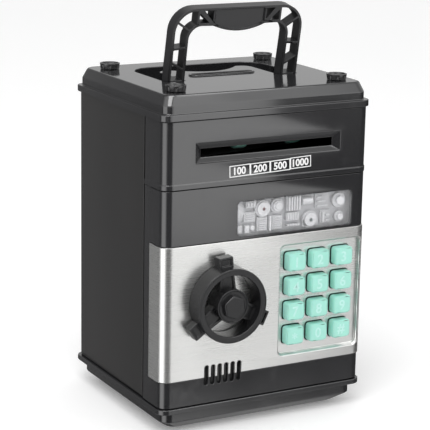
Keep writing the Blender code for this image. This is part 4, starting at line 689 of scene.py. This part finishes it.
def dress_dial():
    """The safe dial: a ring, a hub, three spokes that end in grip blocks, and a hexagonal bolt."""
    centre = joint_place("dial_turn")
    front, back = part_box("dial_knob")[0].y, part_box("dial_knob")[1].y

    def wheel(name, radius, near, far, sides=96):
        place = (centre.x, (near + far) / 2, centre.z)
        return disc(name, place, radius, far - near, "Y", sides)

    hole = wheel("hole", RING_INSIDE, front - MM, back + MM)
    ring = rounded(recessed(wheel("ring", RING_RADIUS, front, back), hole), RING_EDGE, 3)
    groove = recessed(
        wheel("groove", GROOVE_RADIUS, front - MM, front + GROOVE_DEPTH),
        wheel("core", GROOVE_INSIDE, front - 2 * MM, front + MM),
    )
    recessed(ring, groove)
    hub = pocketed(wheel("hub", HUB_RADIUS, front, back, 72), *HUB_POCKET)
    rounded(hub, 0.3 * MM, 3)
    bars = []
    near = front + SPOKE_BACK
    far = near + SPOKE_DEPTH
    reach = RING_INSIDE + RING_BITE
    to_hub = Matrix.Translation((centre.x, 0, centre.z))
    for turn in SPOKE_TURNS:
        around = to_hub @ Matrix.Rotation(-math.radians(turn), 4, "Y")
        spoke = block("spoke", (SPOKE_START, near, -SPOKE_HALF), (reach, far, SPOKE_HALF))
        alone(spoke)
        bpy.ops.object.mode_set(mode="EDIT")
        pick_faces(spoke, lambda middle, normal: normal.x > 0.9)
        end = (reach, (near + far) / 2, 0)
        bpy.ops.transform.resize(value=(1, 1, SPOKE_NARROWING), center_override=end)
        bpy.ops.object.mode_set(mode="OBJECT")
        rounded(pocketed(spoke, *SPOKE_POCKET), 0.25 * MM, 2)
        grip = block("grip", (RING_RADIUS - RING_BITE, near, -GRIP_HALF), (SPOKE_END, far, GRIP_HALF))
        rounded(pocketed(grip, *GRIP_POCKET), 0.3 * MM, 2)
        for bar in (spoke, grip):
            bar.data.transform(around)
            bars.append(bar)
    finished(joined("dial_wheel", ring, hub, *bars), DIAL_BLACK, "dial", ("dial_knob",))

    head_front, shank_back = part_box("dial_bolt")[0].y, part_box("dial_bolt")[1].y
    head = wheel("dial_hex_bolt", BOLT_RADIUS, head_front, front + BOLT_SEAT, 6)
    head.data.transform(about(centre, BOLT_TURN))
    alone(head)
    bpy.ops.object.mode_set(mode="EDIT")
    pick_faces(head, lambda middle, normal: normal.y < -0.9)
    bpy.ops.mesh.inset(thickness=BOLT_RIM, depth=0)
    bpy.ops.object.mode_set(mode="OBJECT")

    def front_corner(a, b):
        far_out = (a - centre).xz.length > BOLT_RADIUS - BOLT_RIM / 2
        return far_out and min(a.y, b.y) < head_front + 0.1 * MM

    alone(head)
    bpy.ops.object.mode_set(mode="EDIT")
    pick_edges(head, front_corner)
    bpy.ops.mesh.bevel(offset=BOLT_BEVEL, segments=3)
    bpy.ops.object.mode_set(mode="OBJECT")
    shank = wheel("shank", SHANK_RADIUS, front + 1 * MM, shank_back, 24)
    bolt = joined("dial_hex_bolt", rounded(head, 0.2 * MM, 2), rounded(shank, 0.15 * MM, 2))
    finished(bolt, DIAL_BLACK, "dial", ("dial_bolt",))


def dress_handle():
    softened("carrying_handle", HANDLE_BLACK, SMALL_EDGE, 3)


def dress_keys():
    """Twelve mint keys, each with its figure printed on it."""
    faces = {"star": "*", "hash": "#"}
    for name in ("1", "2", "3", "4", "5", "6", "7", "8", "9", "star", "0", "hash"):
        node = f"key_{name}"
        softened(node, KEY_MINT, KEY_EDGE, 3, 25)
        low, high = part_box(node)
        middle = (low + high) / 2
        place = (middle.x - KEY_FIGURE_SHIFT, low.y - PRINT_THICKNESS * 0.4, middle.z)
        text = faces.get(name, name)
        figure = writing(f"{node}_print", text, KEY_FIGURE_HEIGHT, place, KEY_FIGURE_BOLD)
        finished(figure, KEY_PRINT, BODY_OF[node])


def dress_labels():
    """Four framed note values below the slot."""
    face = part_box("front_fascia")[0].y + LABEL_SETBACK
    half = Vector((0, PRINT_THICKNESS / 2, LABEL_HEIGHT / 2))
    line = Vector((LABEL_LINE, -MM, LABEL_LINE))
    for index, (value, lift) in enumerate(zip(NOTE_VALUES, LABEL_LIFTS)):
        left, right = LABEL_EDGES[index] * MM, LABEL_EDGES[index + 1] * MM
        middle = Vector(((left + right) / 2, face - PRINT_THICKNESS / 2, (LABEL_Z + lift) * MM))
        half.x = (right - left) / 2
        box = block(f"label_frame_{index + 1}", middle - half, middle + half)
        recessed(box, block("hole", middle - half + line, middle + half - line))
        box.data.transform(about(middle, -LABEL_TILT))
        finished(box, LABEL_PRINT, "case")
        label = f"label_value_{index + 1}"
        figures = writing(label, value, LABEL_FIGURE_HEIGHT, middle, LABEL_FIGURE_BOLD)
        figures.data.transform(about(middle, -LABEL_TILT))
        finished(figures, LABEL_PRINT, "case")


# The window


def dress_window():
    softened("window_lens", COVER, FINE_EDGE)
    softened("led_red", RED_LAMP, FINE_EDGE)
    softened("led_green", GREEN_LAMP, FINE_EDGE)
    build_relief()


def build_relief():
    """A made-up machine layout: discs, louvres, ribs and bolts standing on a plate behind the window."""
    low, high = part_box("relief_panel")
    parts = [block("floor", (low.x, RELIEF_BACK, low.z), high)]
    left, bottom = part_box("window_lens")[0].x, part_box("window_lens")[0].z
    deepest = RELIEF_BACK - RELIEF_FRONT

    def slab(x, z, share, edge=0.25):
        """A raised block. x and z are limits in millimetres from the window's lower left corner."""
        low_corner = (left + x[0] * MM, RELIEF_BACK - deepest * share, bottom + z[0] * MM)
        high_corner = (left + x[1] * MM, RELIEF_BACK, bottom + z[1] * MM)
        parts.append(rounded(block("slab", low_corner, high_corner), edge * MM, 2))

    def stud(x, z, radius, share, edge=0.3, sides=40):
        near = RELIEF_BACK - deepest * share
        place = (left + x * MM, (near + RELIEF_BACK) / 2, bottom + z * MM)
        button = disc("button", place, radius * MM, RELIEF_BACK - near, "Y", sides)
        parts.append(rounded(button, edge * MM, 2))

    def row(count, start, step, make):
        for index in range(count):
            make(start + index * step)

    # Left: a stepped wheel cut by the frame, a fan of louvres and two small boxes.
    for radius, share in ((6.0, 0.3), (4.6, 0.5), (2.6, 0.72)):
        stud(0.6, 12.5, radius, share)
    slab((6.2, 12.6), (14.6, 18.2), 0.55)
    row(3, 7.0, 1.9, lambda x: slab((x, x + 0.8), (15.3, 17.6), 0.75, 0.15))
    slab((5.2, 12.4), (6.8, 12.4), 0.5)
    row(4, 7.5, 1.25, lambda z: slab((6.0, 11.6), (z, z + 0.55), 0.68, 0.12))
    slab((1.2, 4.2), (1.0, 5.4), 0.6)
    slab((5.6, 8.4), (0.8, 5.2), 0.75)
    stud(10.4, 3.4, 1.5, 0.8, 0.6)
    # Lamp disc and gauge.
    for radius, share in ((4.9, 0.5), (4.0, 0.78), (2.6, 0.62)):
        stud(17.2, 13.5, radius, share, 0.35)
    for radius, share in ((4.2, 0.45), (3.2, 0.72), (2.1, 0.95)):
        stud(26.4, 14.2, radius, share, 0.5)
    # Two louvre blocks with a rail between.
    for start in (13.6, 23.2):
        slab((start, start + 6.4), (0.9, 8.8), 0.5)
        row(6, 1.7, 1.2, lambda z: slab((start + 0.9, start + 5.5), (z, z + 0.55), 0.72, 0.12))
    slab((20.8, 22.2), (0.6, 9.2), 0.8)
    # Ribbed block above a comb.
    slab((32.2, 41.0), (10.4, 19.0), 0.45)
    row(5, 32.9, 1.65, lambda x: slab((x, x + 0.95), (10.8, 18.6), 0.85, 0.2))
    slab((32.0, 40.2), (5.0, 9.6), 0.6)
    row(5, 32.4, 1.6, lambda x: slab((x, x + 0.7), (5.4, 9.2), 0.8, 0.15))
    row(5, 32.2, 1.7, lambda x: stud(x + 0.8, 2.6, 0.75, 0.75, 0.25, 12))
    # Barrel, and the housing of the second lamp.
    barrel_at = (left + 45.2 * MM, RELIEF_BACK - 1.2 * MM, bottom + 15.2 * MM)
    barrel = disc("barrel", barrel_at, 2.3 * MM, 6.6 * MM, "X")
    parts.append(rounded(barrel, 0.4 * MM, 3))
    slab((42.9, 53.0), (0.5, 4.9), 0.45)
    for radius, share in ((5.0, 0.45), (3.9, 0.75), (2.5, 0.6)):
        stud(47.6, 4.3, radius, share, 0.3)
    # Right: stepped strips and two hexagonal bolts on washers.
    slab((51.0, 60.0), (10.2, 18.6), 0.28)
    row(3, 11.0, 2.5, lambda z: slab((51.8, 58.6 - (z - 11.0) * 0.6), (z, z + 0.9), 0.55, 0.15))
    slab((54.4, 61.0), (1.0, 8.6), 0.28)
    slab((55.4, 57.0), (1.8, 7.8), 0.6)
    row(2, 2.4, 2.9, lambda z: slab((57.6, 60.2), (z, z + 1.0), 0.55, 0.15))
    for x, z, radius in ((66.2, 13.6, 4.4), (66.6, 4.2, 3.1)):
        stud(x, z, radius, 0.5, 0.4)
        stud(x, z, radius * 0.62, 0.92, 0.3, 6)
    finished(joined("machine_relief", *parts), RELIEF, "door", ("relief_panel",))


# The room


def build_world():
    """White surroundings, and what the gloss shows: a room with panels of light.

    A wide panel stands ahead with a low bright strip under it, a tall lamp stands off the left corner,
    and a lamp hangs overhead. The left wall and the ground are dim.
    """
    world = bpy.data.worlds.new("studio")
    bpy.context.scene.world = world
    world.use_nodes = True
    tree = world.node_tree
    tree.nodes.clear()
    work = NodeWork(tree)
    split = tree.nodes.new("ShaderNodeSeparateXYZ")
    tree.links.new(work.add("ShaderNodeTexCoord", output="Generated").socket, split.inputs[0])
    x, y, z = (Wire(work, output) for output in split.outputs)
    # The compass turn of a direction in degrees, from the front (-Y) towards the right (+X).
    bearing = work.add("ShaderNodeMath", {"operation": "ARCTAN2"}, {0: x, 1: y * -1.0})
    turn = bearing * math.degrees(1)
    above = z.smooth(-0.02, 0.1)
    low_wall = z.smooth(-0.345, -0.365) * z.smooth(-0.62, -0.5)
    below = z.smooth(-0.5, -0.62)
    ahead = turn.smooth(0, 14) * turn.smooth(60, 45)
    dark_end = turn.smooth(31.0, 32.0) * z.smooth(-0.14, -0.17)
    panel = ahead * z.smooth(-0.29, -0.25) * (1 - dark_end)
    strength = z.smooth(-0.24, -0.14, 1.55, 1.65) * turn.smooth(25, 33, 1.06, 0.84)
    left_wall = turn.smooth(-105, -135)
    beside = turn.smooth(-108, -84) * turn.smooth(-36, -62)
    lamp = beside * z.smooth(-0.7, -0.5) * z.smooth(0.2, 0.0, 0.4, 1.0)
    overhead = z.smooth(0.6, 0.68) * turn.smooth(20, 30) * turn.smooth(53.6, 52.4)
    upper_room = above * (0.64 - left_wall * 0.56) + left_wall * 0.12
    room = upper_room + low_wall * ahead * 1.7 + below * 0.26
    # How bright each of them shows in the gloss.
    gloss = 0.06 + room * (1 - panel) + panel * strength + lamp * 1.8 + overhead * 2.6
    path = tree.nodes.new("ShaderNodeLightPath")
    seen = Wire(work, path.outputs["Is Camera Ray"])
    mirrored = Wire(work, path.outputs["Is Glossy Ray"])
    shown = seen * 1.05 + mirrored * gloss + (1 - seen) * (1 - mirrored) * 0.8
    background = work.add("ShaderNodeBackground", None, {"Color": (1, 1, 1, 1), "Strength": shown})
    output = tree.nodes.new("ShaderNodeOutputWorld")
    tree.links.new(background.socket, output.inputs[0])


def build_floor():
    floor = started("floor", bpy.ops.mesh.primitive_plane_add, size=6)
    made = Finish("floor_paper", roughness=0.9, emission_strength=0.16, emission_color=(1, 1, 1))
    made.set(base_color=made.mix(made.noise(3), (0.92, 0.92, 0.92), (0.94, 0.94, 0.94)))
    floor.data.materials.append(made.material)
    floor.visible_glossy = False


def area_light(name, place, target, size, power):
    data = bpy.data.lights.new(name, "AREA")
    data.shape = "DISK"
    data.size = size
    data.energy = power
    obj = bpy.data.objects.new(name, data)
    bpy.context.scene.collection.objects.link(obj)
    obj.location = place
    obj.rotation_euler = (Vector(target) - Vector(place)).to_track_quat("-Z", "Y").to_euler()
    return obj


def build_camera():
    data = bpy.data.cameras.new("camera")
    data.sensor_width = SENSOR
    data.lens = CAMERA_LENS
    data.clip_start = 0.05
    data.clip_end = 20
    camera = bpy.data.objects.new("camera", data)
    bpy.context.scene.collection.objects.link(camera)
    turn = Matrix.Rotation(-CAMERA_YAW, 4, "Z")
    tip = Matrix.Rotation(math.pi / 2 - CAMERA_PITCH, 4, "X")
    roll = Matrix.Rotation(CAMERA_ROLL, 4, "Z")
    camera.matrix_world = Matrix.Translation(CAMERA_PLACE) @ turn @ tip @ roll
    bpy.context.scene.camera = camera


def main():
    build_camera()
    build_world()
    build_floor()
    area_light("top_light", (-0.5, -0.6, 1.3), (0, 0, 0.1), 0.9, 9)
    dress_case()
    dress_feeder()
    dress_battery_box()
    dress_door()
    dress_dial()
    dress_handle()
    dress_keys()
    dress_labels()
    dress_window()
    bpy.context.scene.view_settings.view_transform = "Standard"


main()
